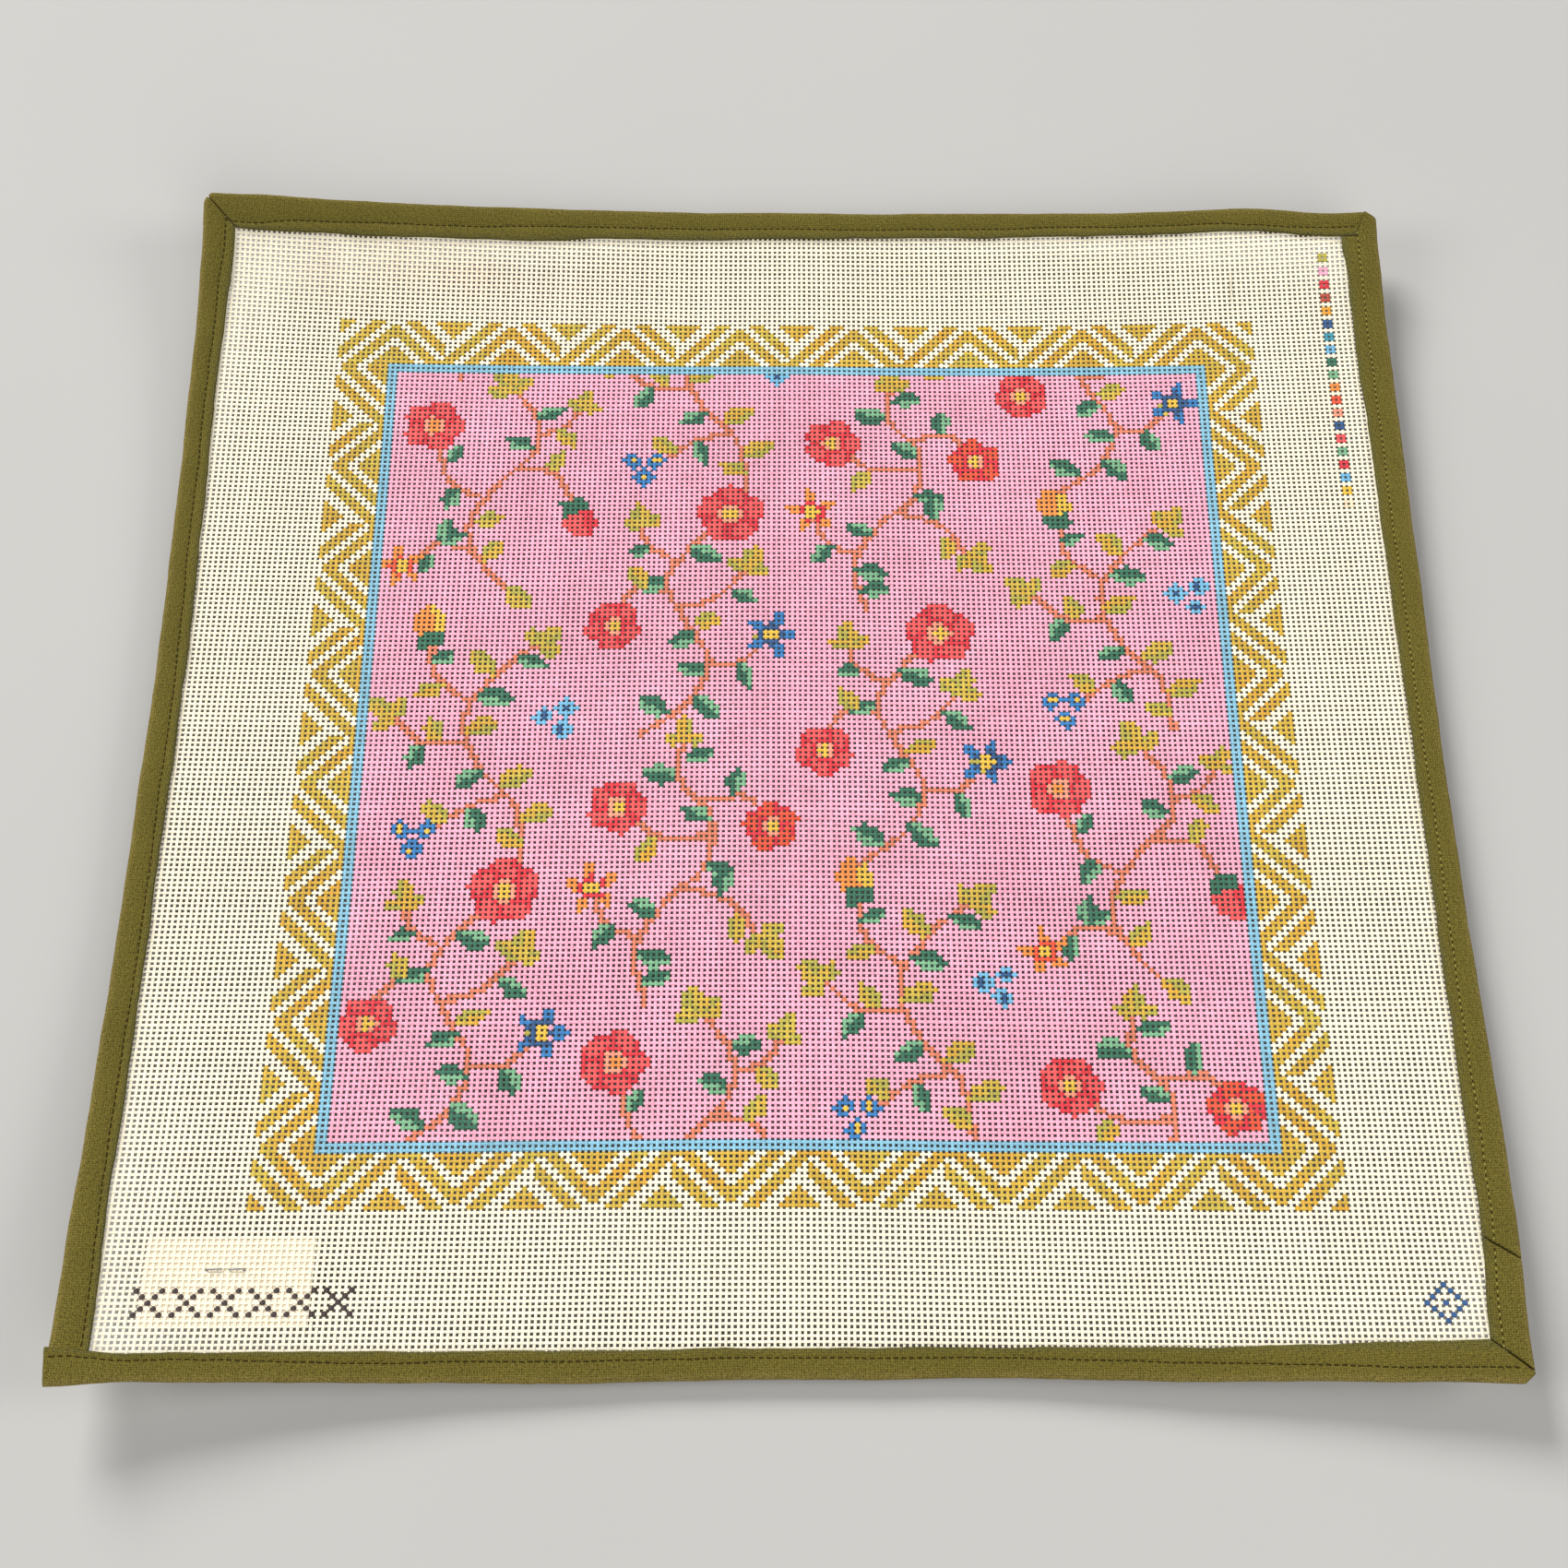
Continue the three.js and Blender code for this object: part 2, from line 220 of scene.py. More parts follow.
# Soft lights all round, low enough that the canvas's holes stay in shade
LIGHTS = [
    ("key", (-2.4, 3.9, 3.1), 350.0),
    ("right", (4.4, -0.2, 2.5), 105.0),
    ("left", (-4.2, -0.9, 2.5), 100.0),
    ("front", (0.9, -2.7, 1.75), 62.0),
]
LIGHT_WIDE = 2.4
CAMERA = {"place": (-0.01070, -0.38376, 0.73887), "aim": (-0.00407, -0.01817, 0.0), "roll": -0.092}
FLOOR = {"reach": 9.0, "points": 9}
ROOM = {"colour": (0.95, 0.97, 1.0, 1.0), "strength": 0.14}


def linear(red, green, blue):
    """A screen colour, 0 to 255 a channel, as the linear values that shaders take."""
    channels = []
    for value in (red, green, blue):
        share = value / 255
        low = share / 12.92
        channels.append(low if share <= 0.04045 else ((share + 0.055) / 1.055) ** 2.4)
    return tuple(channels)


def length_setting(name, description, millimetres):
    return bpy.props.FloatProperty(
        name=name, description=description, default=millimetres * MM, unit="LENGTH", precision=5
    )


def colour_setting(name, description, *rgb):
    return bpy.props.FloatVectorProperty(
        name=name, description=description, default=linear(*rgb), subtype="COLOR", size=3
    )


class CanvasPaints(bpy.types.PropertyGroup):
    """The colours painted on the canvas, by the names that the chart uses."""

    bare: colour_setting("Bare", "Unpainted canvas thread", 245, 235, 208)
    pink: colour_setting("Pink", "Ground of the middle field", 246, 168, 190)
    gold: colour_setting("Gold", "Lattice border", 206, 168, 58)
    line: colour_setting("Line blue", "Narrow line round the field", 130, 184, 206)
    rust: colour_setting("Rust", "Stems of the sprays", 216, 124, 94)
    coral: colour_setting("Coral", "Petals", 240, 84, 84)
    red: colour_setting("Red", "Petal rims", 214, 48, 58)
    deep_green: colour_setting("Deep green", "Dark leaves", 48, 106, 80)
    green: colour_setting("Green", "Mid leaves", 118, 172, 130)
    olive: colour_setting("Olive", "Light leaves", 176, 164, 66)
    blue: colour_setting("Blue", "Small flowers", 48, 118, 178)
    sky: colour_setting("Sky blue", "Berries", 110, 175, 210)
    teal: colour_setting("Teal", "Colour key only", 62, 142, 160)
    navy: colour_setting("Navy", "Daisy hearts, berry eyes and the diamond", 42, 82, 128)
    yellow: colour_setting("Yellow", "Flower eyes", 226, 182, 62)
    orange: colour_setting("Orange", "Small blooms", 236, 140, 62)
    scarlet: colour_setting("Scarlet", "Petals and hearts of a few flowers", 228, 80, 50)
    salmon: colour_setting("Salmon", "Ring round a rose's eye", 240, 150, 120)
    peach: colour_setting("Peach", "Colour key only", 245, 215, 180)
    brown: colour_setting("Dark brown", "Marks in the margin", 62, 48, 44)
    russet: colour_setting("Russet", "Colour key only", 178, 74, 52)
    amber: colour_setting("Amber", "Colour key only", 228, 156, 44)


class CanvasSizes(bpy.types.PropertyGroup):
    """Sizes of the woven canvas."""

    pitch: length_setting("Pitch", "From one thread to the next", PITCH)
    thread_wide: length_setting("Thread width", "Width of a bare thread", 0.92)
    painted_wide: length_setting("Painted width", "Width of a thread with paint on it", 0.95)
    thread_thick: length_setting("Thread thickness", "Height of a thread", 0.59)
    crimp: length_setting("Crimp", "How far a thread rises and dips at each crossing", 0.07)
    wander: length_setting("Wander", "How far a thread strays from straight", 0.07)


class BindingLooks(bpy.types.PropertyGroup):
    """Colours and sizes of the cotton binding and its sewing."""

    cloth: colour_setting("Tape", "Cotton tape", 95, 86, 33)
    # The outer fold's paler, tan colour: a painted highlight together with wear
    edge_tint: colour_setting("Worn tape", "Tape along its outer fold", 130, 114, 62)
    hem: colour_setting("Hem", "Tape along its inner hem", 80, 80, 50)
    # The dark thread is partly painted shade of the sunk stitches and needle holes; the light thread
    # is a painted highlight on it
    thread: colour_setting("Sewing thread", "Machine sewing", 50, 43, 12)
    light_thread: colour_setting("Light thread", "Sewing along the right side", 150, 142, 72)
    stitch: length_setting("Stitch", "From one stitch to the next", 2.5)
    station: length_setting("Tape step", "Length of a row of the tape's faces", 3.2)


class TrimLooks(bpy.types.PropertyGroup):
    """Colours of the patch and the staple behind the canvas."""

    patch: colour_setting("Patch", "Plain patch behind the canvas", 248, 232, 208)
    steel: colour_setting("Staple", "Staple wire", 150, 150, 152)


class StageLooks(bpy.types.PropertyGroup):
    """Floor, light and camera."""

    floor: colour_setting("Floor", "Plain floor", 178, 176, 172)
    lens: bpy.props.FloatProperty(name="Lens", description="In millimetres", default=52.94)


SETTINGS = {
    "canvas_paints": CanvasPaints,
    "canvas_sizes": CanvasSizes,
    "binding_looks": BindingLooks,
    "trim_looks": TrimLooks,
    "stage_looks": StageLooks,
}


# The sheet's shape


def reach(distance, start):
    """0 up to a line, rising to 1 at the rim and a little past it."""
    return np.maximum(distance - start, 0) / (RIM - start)


def rise(u, v):
    """Height of the canvas's underside: each edge's and corner's lift times powers of reach."""
    outward = {"left": -u, "right": u, "near": -v, "far": v}
    height = 0.0
    for side, curl in EDGE_CURLS.items():
        height = height + curl["lift"] * reach(outward[side], curl["start"]) ** curl["power"]
    for curl in CORNER_CURLS:
        sideways = reach(curl["across"] * u, CORNER_START) ** curl["across_power"]
        upward = reach(curl["up"] * v, CORNER_START) ** curl["up_power"]
        height = height + curl["lift"] * sideways * upward
    return height


def bow(u):
    """How far the cross threads' ends hang back from their middle."""
    left = BOW["left"] * (np.maximum(-u, 0) / RIM) ** BOW["left_power"]
    right = BOW["right"] * (np.maximum(u, 0) / RIM) ** BOW["right_power"]
    return -left - right


def lay(u, v, height):
    """Points of the flat sheet as the panel lies, in metres: leaned, bowed and lifted."""
    return np.stack([u + LEAN * v, v + bow(u), rise(u, v) + height], -1) * MM


def eased(places, values, at):
    """Values of a short table at any places, eased from row to row by 3s^2 - 2s^3."""
    places = np.asarray(places, float)
    values = np.asarray(values, float)
    row = np.clip(np.searchsorted(places, at, side="right") - 1, 0, len(places) - 2)
    share = np.clip((at - places[row]) / (places[row + 1] - places[row]), 0, 1)
    share = share * share * (3 - 2 * share)
    return values[row] + (values[row + 1] - values[row]) * share


def edge_at(side, column, along):
    """The outer fold or inner hem of a side, eased between the rows of its table."""
    rows = SIDES[side]
    return eased([row[0] for row in rows], [row[column] for row in rows], along)


def uneven(along, seed, longest=90.0, waves=6):
    """A soft irregular line from about -1 to 1: sines of ever shorter length, each weaker."""
    shorter, weaker, whole = 1.7, 1.35, 2.2
    random = np.random.default_rng(seed)
    total = 0.0
    for wave in range(waves):
        length = longest / shorter**wave
        phase = random.uniform(0, 2 * math.pi)
        total = total + np.sin(2 * math.pi * along / length + phase) / weaker**wave
    return total / whole


def clouds(columns, rows, spacing, seed):
    """Soft patches from -1 to 1: random values on a coarse grid, eased between its points."""
    random = np.random.default_rng(seed)
    values = random.uniform(-1, 1, (columns // spacing + 2, rows // spacing + 2))

    def shares(count):
        at = np.arange(count) / spacing
        low = at.astype(int)
        share = at - low
        return low, share * share * (3 - 2 * share)

    i, across = shares(columns)
    j, up = shares(rows)
    across = across[:, None]
    near = values[i][:, j] * (1 - across) + values[i + 1][:, j] * across
    far = values[i][:, j + 1] * (1 - across) + values[i + 1][:, j + 1] * across
    return near * (1 - up) + far * up


# The painted chart: one paint for each crossing


def paint_index(name):
    return list(CanvasPaints.__annotations__).index(name)


def crossings():
    """Left and near holes of every crossing, as two grids."""
    across = np.arange(WEAVE_SPAN["left"], WEAVE_SPAN["right"])
    up = np.arange(WEAVE_SPAN["near"], WEAVE_SPAN["far"])
    return np.meshgrid(across, up, indexing="ij")


def between(values, low, high):
    return (values >= low) & (values <= high)


def peak_bands(count):
    """Gold round a peak of the border, by the count of crossings out from it."""
    return (count <= GOLD_BANDS["peak"]) | between(count, *GOLD_BANDS["inner"])


def border_gold(i, j):
    """The border's lattice. Along each side, counted round the panel against the clock,
    'past' is the way from the last peak, 'left' the way to the next, and 'out' the way out
    from the peaks' line. Chevrons keep past + out or left + out the same."""
    x, y = i + 0.5, j + 0.5
    peaks = CORNER_PEAKS
    outer = GOLD_BANDS["outer"]
    valley = GOLD_BANDS["valley"]
    gold = np.zeros(i.shape, bool)
    side = peaks["right"] - peaks["left"]
    for travelled, out in (
        (peaks["right"] - x, y - peaks["far"]),
        (peaks["far"] - y, peaks["left"] - x),
        (x - peaks["left"], peaks["near"] - y),
        (y - peaks["near"], x - peaks["right"]),
    ):
        inside = between(travelled, 0, side) & (out > 0)
        past = travelled % REPEAT
        u = past + out
        w = REPEAT - past + out
        band = between(u, *outer) | (between(w, *outer) & (past > outer[0]))
        filled = (u >= valley) & (w >= valley)
        gold |= inside & (peak_bands(u) | peak_bands(w) | band | filled)
    for across, px in ((-1, peaks["left"]), (1, peaks["right"])):
        for up, py in ((-1, peaks["near"]), (1, peaks["far"])):
            inside = (across * (x - px) > 0) & (up * (y - py) > 0)
            count = np.abs(x - px) + np.abs(y - py)
            band = between(count, *outer) | (count >= valley)
            gold |= inside & (peak_bands(count) | band)
    return gold


def turned(x, y, at, turn):
    """Places as a motif sees them: from its own point, turned by its own angle."""
    angle = math.radians(turn)
    dx, dy = x - at[0], y - at[1]
    along = dx * math.cos(angle) + dy * math.sin(angle)
    return along, dy * math.cos(angle) - dx * math.sin(angle)


def smooth_line(points, steps=24):
    """A curve through a few points, by the Catmull-Rom cubic between each two."""
    p = np.array(points, float)
    p = np.vstack([2 * p[0] - p[1], p, 2 * p[-1] - p[-2]])
    t = np.linspace(0, 1, steps)[:, None]
    runs = []
    for a, b, c, d in zip(p, p[1:], p[2:], p[3:]):
        square = 2 * a - 5 * b + 4 * c - d
        cube = 3 * b - a - 3 * c + d
        runs.append(b + 0.5 * ((c - a) * t + square * t**2 + cube * t**3))
    return np.vstack(runs)


def paint_stem(chart, x, y, points):
    """A stem: every crossing close to a smooth line."""
    wide = 1.25
    line = smooth_line(points)
    distance = np.hypot(x[..., None] - line[:, 0], y[..., None] - line[:, 1]).min(-1)
    chart[distance < wide / 2] = paint_index("rust")


def paint_leaf(chart, x, y, at, turn, size, light, dark, fat=0.30):
    """A leaf: half as wide as a sine along its length, one half lighter than the other."""
    along, side = turned(x, y, at, turn)
    share = np.clip(along / size, 0, 1)
    inside = np.abs(side) < fat * size * np.sin(math.pi * share) ** 0.8
    inside &= (share > 0) & (share < 1)
    chart[inside] = paint_index(dark)
    chart[inside & (side > 0.12 * size * fat)] = paint_index(light)


def paint_trefoil(chart, x, y, at, turn, size):
    """Three olive leaves from one point, the middle one longer."""
    for swing, share in ((-66, 0.85), (0, 1.15), (66, 0.85)):
        paint_leaf(chart, x, y, at, turn + swing, size * share, *LEAVES["olive"], 0.33)


def paint_rose(chart, x, y, at, turn, size, rim, petal, eye):
    """Five round petals: an edge that swells five times a turn, and darker lines that
    spiral between the petals to a ringed eye."""
    along, side = turned(x, y, at, turn)
    far = np.hypot(along, side)
    angle = np.arctan2(side, along)
    edge = size * (0.84 + 0.16 * np.abs(np.cos(2.5 * angle)))
    inside = far < edge
    chart[inside] = paint_index(petal)
    spiral = np.cos(5 * angle + 2.4 * (1 - far / size)) < -0.62
    chart[inside & spiral & (far > 0.40 * size)] = paint_index(rim)
    chart[inside & (far > edge - 1.0) & (np.cos(5 * angle) < 0.2)] = paint_index(rim)
    chart[far < 0.46 * size] = paint_index(rim)
    chart[far < 0.34 * size] = paint_index("salmon")
    chart[far < 0.20 * size] = paint_index(eye)


def paint_daisy(chart, x, y, at, turn, size, rim, petal, eye):
    """Five pointed petals round an eye, darker towards it."""
    along, side = turned(x, y, at, turn)
    far = np.hypot(along, side)
    edge = size * (0.68 + 0.34 * np.cos(5 * np.arctan2(side, along)))
    chart[far < edge] = paint_index(petal)
    chart[(far < edge) & (far < 0.52 * size)] = paint_index(rim)
    chart[far < 0.27 * size] = paint_index(eye)


def paint_bud(chart, x, y, at, turn, size, cup, petal, tip):
    """An egg of petals in a green cup."""
    along, side = turned(x, y, at, turn)
    share = np.clip(along / (1.2 * size), 0, 1)
    inside = np.abs(side) < 0.46 * size * np.sqrt(np.sin(math.pi * share))
    inside &= (share > 0) & (share < 1)
    chart[inside] = paint_index(petal)
    chart[inside & (side > 0.1 * size)] = paint_index(tip)
    held = between(along, -0.12 * size, 0.34 * size) & (np.abs(side) < 0.36 * size)
    chart[held] = paint_index(cup)


def paint_cluster(chart, x, y, at, turn, size, petal, eye):
    """Three little crosses round a point, each with its own eye."""
    out = 0.62 * size
    for swing in (0, 120, 240):
        angle = math.radians(turn + swing)
        dx = np.abs(x - (at[0] + out * math.cos(angle)))
        dy = np.abs(y - (at[1] + out * math.sin(angle)))
        chart[dx + dy < 2.3] = paint_index(petal)
        chart[dx + dy < 0.9] = paint_index(eye)


BLOOMS = {"rose": paint_rose, "daisy": paint_daisy, "bud": paint_bud, "cluster": paint_cluster}
# The lighter and the darker half of each kind of leaf
LEAVES = {"green": ("green", "deep_green"), "olive": ("olive", "gold")}
# Each spray: its stems, its leaves (place, turn, size, kind), its trefoils (place, turn,
# size) and its blooms (kind, place, turn, size, paints)
SPRAYS = {
    "rose": {
        "stems": [
            [(-9, -28), (0, -21), (3, -12), (-2, -3), (-5, 5), (0, 13), (6, 19)],
            [(3, -13), (9, -13), (14, -8)],
            [(-3, -1), (4, 1), (10, 7)],
            [(-5, 3), (-11, 3), (-15, -2)],
            [(-3, 9), (-9, 13), (-10, 18)],
        ],
        "leaves": [
            ((-4, -24), 150, 7, "green"), ((0, -20), -40, 7, "green"), ((3, -15), 170, 6, "green"),
            ((1, -7), 200, 6, "green"), ((0, -5), 20, 6, "olive"), ((-5, 5), 200, 6, "green"),
            ((-1, 12), -20, 7, "green"), ((9, -13), -70, 6, "green"), ((7, 3), -30, 6, "green"),
            ((-9, 3), 120, 6, "olive"), ((-8, 12), 190, 5, "green"), ((12, -10), 60, 5, "olive"),
        ],
        "trefoils": [((10, 7), 70, 5.5), ((-10, 17), 100, 5)],
        "blooms": [
            ("rose", (7, 20), 20, 6.6, "red", "coral", "yellow"),
            ("rose", (-15, -5), 50, 5.4, "red", "coral", "yellow"),
            ("daisy", (15, -7), 0, 5.0, "navy", "blue", "yellow"),
        ],
    },
    "bell": {
        "stems": [
            [(9, -27), (1, -20), (-4, -10), (1, 0), (8, 8), (8, 16), (3, 23)],
            [(-2, -15), (-9, -13), (-14, -17)],
            [(-1, -3), (-8, 1), (-11, 10)],
            [(5, 4), (12, 3), (16, -4)],
            [(9, 12), (14, 14), (17, 19)],
        ],
        "leaves": [
            ((4, -23), -40, 7, "olive"), ((-1, -17), 50, 6, "olive"), ((-4, -11), 190, 6, "green"),
            ((-3, -8), 10, 6, "olive"), ((8, 9), 160, 6, "green"), ((8, 16), 20, 6, "green"),
            ((-8, -13), 90, 6, "green"), ((-6, 0), -120, 6, "green"), ((11, 3), 60, 6, "olive"),
            ((-11, -15), -100, 5, "green"), ((12, 13), -40, 6, "olive"), ((-9, 5), 60, 5, "green"),
        ],
        "trefoils": [((3, 22), 110, 6), ((17, 18), 70, 4.5)],
        "blooms": [
            ("rose", (-12, 14), 0, 6.0, "red", "coral", "orange"),
            ("bud", (16, -4), -70, 7, "deep_green", "coral", "red"),
            ("daisy", (-16, -18), 30, 4.6, "scarlet", "orange", "yellow"),
        ],
    },
    "fern": {
        "stems": [
            [(-10, -27), (-8, -16), (-1, -8), (2, 2), (-3, 11), (-11, 18)],
            [(-7, -14), (0, -16), (7, -21)],
            [(1, -3), (9, -3), (15, 2)],
            [(1, 5), (8, 11), (9, 18)],
        ],
        "leaves": [
            ((-10, -24), 30, 6, "olive"), ((-9, -19), 160, 7, "olive"), ((-5, -12), 150, 7, "olive"),
            ((-2, -9), -30, 6, "green"), ((2, -1), 160, 7, "olive"), ((0, 7), 190, 7, "green"),
            ((-3, 11), 50, 7, "olive"), ((-7, 15), 200, 6, "green"), ((0, -16), -110, 6, "green"),
            ((6, -3), 60, 6, "olive"), ((9, -3), -60, 6, "green"), ((6, 9), -20, 6, "olive"),
            ((9, 14), 160, 5, "green"), ((4, -19), 40, 6, "olive"),
        ],
        "trefoils": [((-11, 17), 130, 5.5), ((15, 2), 40, 5.5)],
        "blooms": [
            ("cluster", (10, -22), 30, 4.2, "blue", "yellow"),
            ("bud", (9, 18), 80, 7, "deep_green", "orange", "yellow"),
            ("cluster", (-15, 2), 10, 4.2, "sky", "navy"),
        ],
    },
    "blossom": {
        "stems": [
            [(7, -28), (9, -18), (4, -9), (-3, -2), (-4, 8), (2, 16), (1, 24)],
            [(8, -16), (14, -13), (17, -7)],
            [(1, -6), (-8, -9), (-13, -16)],
            [(-4, 4), (5, 4), (11, 8)],
            [(-3, 11), (-10, 12), (-14, 8)],
        ],
        "leaves": [
            ((8, -24), 170, 6, "green"), ((9, -19), 190, 7, "green"), ((5, -11), 20, 6, "green"),
            ((-3, -2), 190, 6, "green"), ((-4, 7), 30, 6, "green"), ((2, 16), 10, 7, "green"),
            ((1, 20), 170, 6, "green"), ((-6, -8), 100, 6, "green"), ((-9, -11), -90, 6, "olive"),
            ((6, 4), -60, 6, "olive"), ((-8, 12), 100, 6, "green"), ((13, -13), -50, 6, "green"),
        ],
        "trefoils": [((-13, -15), 230, 5.5), ((1, 23), 90, 5)],
        "blooms": [
            ("rose", (13, 10), 40, 5.6, "red", "coral", "yellow"),
            ("daisy", (17, -6), 10, 5.0, "red", "orange", "yellow"),
            ("rose", (-15, 6), 10, 5.2, "red", "scarlet", "yellow"),
        ],
    },
}
FIELD_ROWS = [
    ["rose", "bell", "fern", "blossom"],
    ["fern", "blossom", "rose", "bell"],
    ["bell", "rose", "blossom", "fern"],
    ["blossom", "fern", "bell", "rose"],
]


def paint_spray(chart, x, y, spray):
    """Stems first, then leaves over them, and blooms over all."""
    for points in spray["stems"]:
        paint_stem(chart, x, y, points)
    for at, turn, size, kind in spray["leaves"]:
        paint_leaf(chart, x, y, at, turn, size, *LEAVES[kind])
    for at, turn, size in spray["trefoils"]:
        paint_trefoil(chart, x, y, at, turn, size)
    for kind, *rest in spray["blooms"]:
        BLOOMS[kind](chart, x, y, *rest)


def field_chart(size):
    """The pink field: sprays of flowers in a half drop, four across and three up."""
    x, y = np.meshgrid(np.arange(size) + 0.5, np.arange(size) + 0.5, indexing="ij")
    chart = np.full((size, size), paint_index("pink"))
    wide, tall = size / 4, size / 3
    for row, names in enumerate(FIELD_ROWS):
        for column, name in enumerate(names):
            centre_x = (column + 0.5) * wide
            centre_y = (row + 0.5 - 0.5 * (column % 2)) * tall
            facing = -1 if (row + column // 2) % 2 else 1
            paint_spray(chart, facing * (x - centre_x), y - centre_y, SPRAYS[name])
    return chart


def chart_marks(chart, i, j):
    """The colour key, a row of plain crosses and a plain diamond, all in the margin."""
    for number, name in enumerate(KEY_PAINTS):
        near = KEY["first"] - KEY["step"] * number
        square = between(i, KEY["i"], KEY["i"] + KEY["size"] - 1)
        chart[square & between(j, near, near + KEY["size"] - 1)] = paint_index(name)
    marks = CROSS_MARKS
    half = marks["size"] // 2
    for number in range(marks["count"]):
        across = np.abs(i - marks["first"] - half - marks["step"] * number)
        up = np.abs(j - marks["near"] - half)
        chart[(across == up) & (across <= half)] = paint_index("brown")
    away = np.abs(i - DIAMOND_MARK["i"]) + np.abs(j - DIAMOND_MARK["j"])
    chart[(away == DIAMOND_MARK["size"]) | (away == 0)] = paint_index("navy")


def canvas_chart(i, j):
    """Which paint each crossing has."""
    chart = np.full(i.shape, paint_index("bare"))
    edges = BORDER
    wide = edges["wide"]
    inset = wide + edges["line"]

    def square(by):
        across = between(i, edges["left"] + by, edges["right"] - by - 1)
        return across & between(j, edges["near"] + by, edges["far"] - by - 1)

    chart[square(0) & border_gold(i, j)] = paint_index("gold")
    chart[square(wide)] = paint_index("line")
    field = square(inset)
    size = edges["right"] - edges["left"] - 2 * inset
    chart[field] = field_chart(size).ravel()
    chart_marks(chart, i, j)
    return chart


def painted_colours(paints, chart, i, j):
    """Each crossing's colour: its paint, laid on by hand, so it is lighter here and there."""
    names = list(CanvasPaints.__annotations__)
    palette = np.array([getattr(paints, name)[:] for name in names])
    colours = palette[chart]
    random = np.random.default_rng(SEED)
    columns, rows = i.shape
    bare = chart == paint_index("bare")
    depth = np.where(bare, UNEVEN_PAINT["bare"], 1.0)
    broad = UNEVEN_PAINT["broad"] * clouds(columns, rows, 9, SEED + 1)
    small = UNEVEN_PAINT["small"] * clouds(columns, rows, 3, SEED + 2)
    tone = broad + small + UNEVEN_PAINT["each"] * random.uniform(-1, 1, i.shape)
    colours = colours * (1 + depth * tone)[..., None]
    warm = GOLD_DRIFT["patches"] * clouds(columns, rows, 5, SEED + 3)
    warm = warm + GOLD_DRIFT["each"] * random.uniform(-1, 1, i.shape)
    gold = chart == paint_index("gold")
    colours[gold] *= 1 + warm[gold][:, None] * np.array(GOLD_DRIFT["channels"])
    for stain in STAINS:
        far = ((i - stain["i"]) / stain["wide"]) ** 2 + ((j - stain["j"]) / stain["tall"]) ** 2
        amount = (stain["strength"] * np.exp(-far) * bare)[..., None]
        colours = colours * (1 - amount) + palette[paint_index(stain["paint"])] * amount
    return np.clip(colours, 0.01, 0.95)


# Meshes


def new_piece(name, points, faces, material, slot=None):
    """A smooth mesh object of points in metres and faces of four corners each."""
    mesh = bpy.data.meshes.new(name)
    mesh.vertices.add(len(points))
    mesh.vertices.foreach_set("co", points.astype(np.float32).ravel())
    mesh.loops.add(faces.size)
    mesh.loops.foreach_set("vertex_index", faces.astype(np.int32).ravel())
    mesh.polygons.add(len(faces))
    mesh.polygons.foreach_set("loop_start", np.arange(0, faces.size, 4, dtype=np.int32))
    mesh.update(calc_edges=True)
    mesh.materials.append(material)
    piece = bpy.data.objects.new(name, mesh)
    bpy.context.scene.collection.objects.link(piece)
    if slot:
        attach(piece, BODY)
    return piece


def keep_flat(piece, flat):
    """Shades these faces flat, so that the faces beside them stay smooth up to their edge."""
    sharp = piece.data.attributes.new("sharp_face", "BOOLEAN", "FACE")
    sharp.data.foreach_set("value", flat)


def keep_corners(piece):
    """Keeps four-sided tubes sharp along their four corners, and smooth along their length."""
    ends = np.empty(2 * len(piece.data.edges), np.int32)
    piece.data.edges.foreach_get("vertices", ends)
    along = np.abs(ends[::2] - ends[1::2]) == 4
    sharp = piece.data.attributes.new("sharp_edge", "BOOLEAN", "EDGE")
    sharp.data.foreach_set("value", along)


def face_values(piece, name, values):
    """Three numbers for each face."""
    attribute = piece.data.attributes.new(name, "FLOAT_VECTOR", "FACE")
    attribute.data.foreach_set("vector", values.astype(np.float32).ravel())


def point_values(piece, name, values):
    """A number for each point."""
    attribute = piece.data.attributes.new(name, "FLOAT", "POINT")
    attribute.data.foreach_set("value", values.astype(np.float32).ravel())


def corner_map(piece, name, places):
    """A map on the mesh: two numbers for each corner of each face."""
    layer = piece.data.uv_layers.new(name=name)
    layer.uv.foreach_set("vector", places.astype(np.float32).ravel())


def tube_faces(rings, sides, tubes=1):
    """Wall faces of tubes whose points run ring by ring. Each ring runs with the clock as
    seen along the tube, so that every face points out."""
    first = np.arange(tubes)[:, None, None] * rings * sides
    ring = np.arange(rings - 1)[None, :, None] * sides
    side = np.arange(sides)[None, None, :]
    after = (side + 1) % sides
    start = first + ring
    upper = start + sides
    return np.stack([start + side, start + after, upper + after, upper + side], -1).reshape(-1, 4)


def end_faces(rings, tubes):
    """The two ends of four-sided tubes."""
    first = np.arange(tubes)[:, None] * rings * 4
    last = first + (rings - 1) * 4
    return np.concatenate([first + [0, 3, 2, 1], last + [0, 1, 2, 3]])


# The woven canvas


def plumpness(random, each_thread, each_crossing):
    """Widths over the usual one: a part that goes with the thread, and a part that goes
    with the crossing, both by the bell curve."""
    whole = PLUMP["thread"] * random.normal(0, 1, each_thread)
    return 1 + whole + PLUMP["crossing"] * random.normal(0, 1, each_crossing)


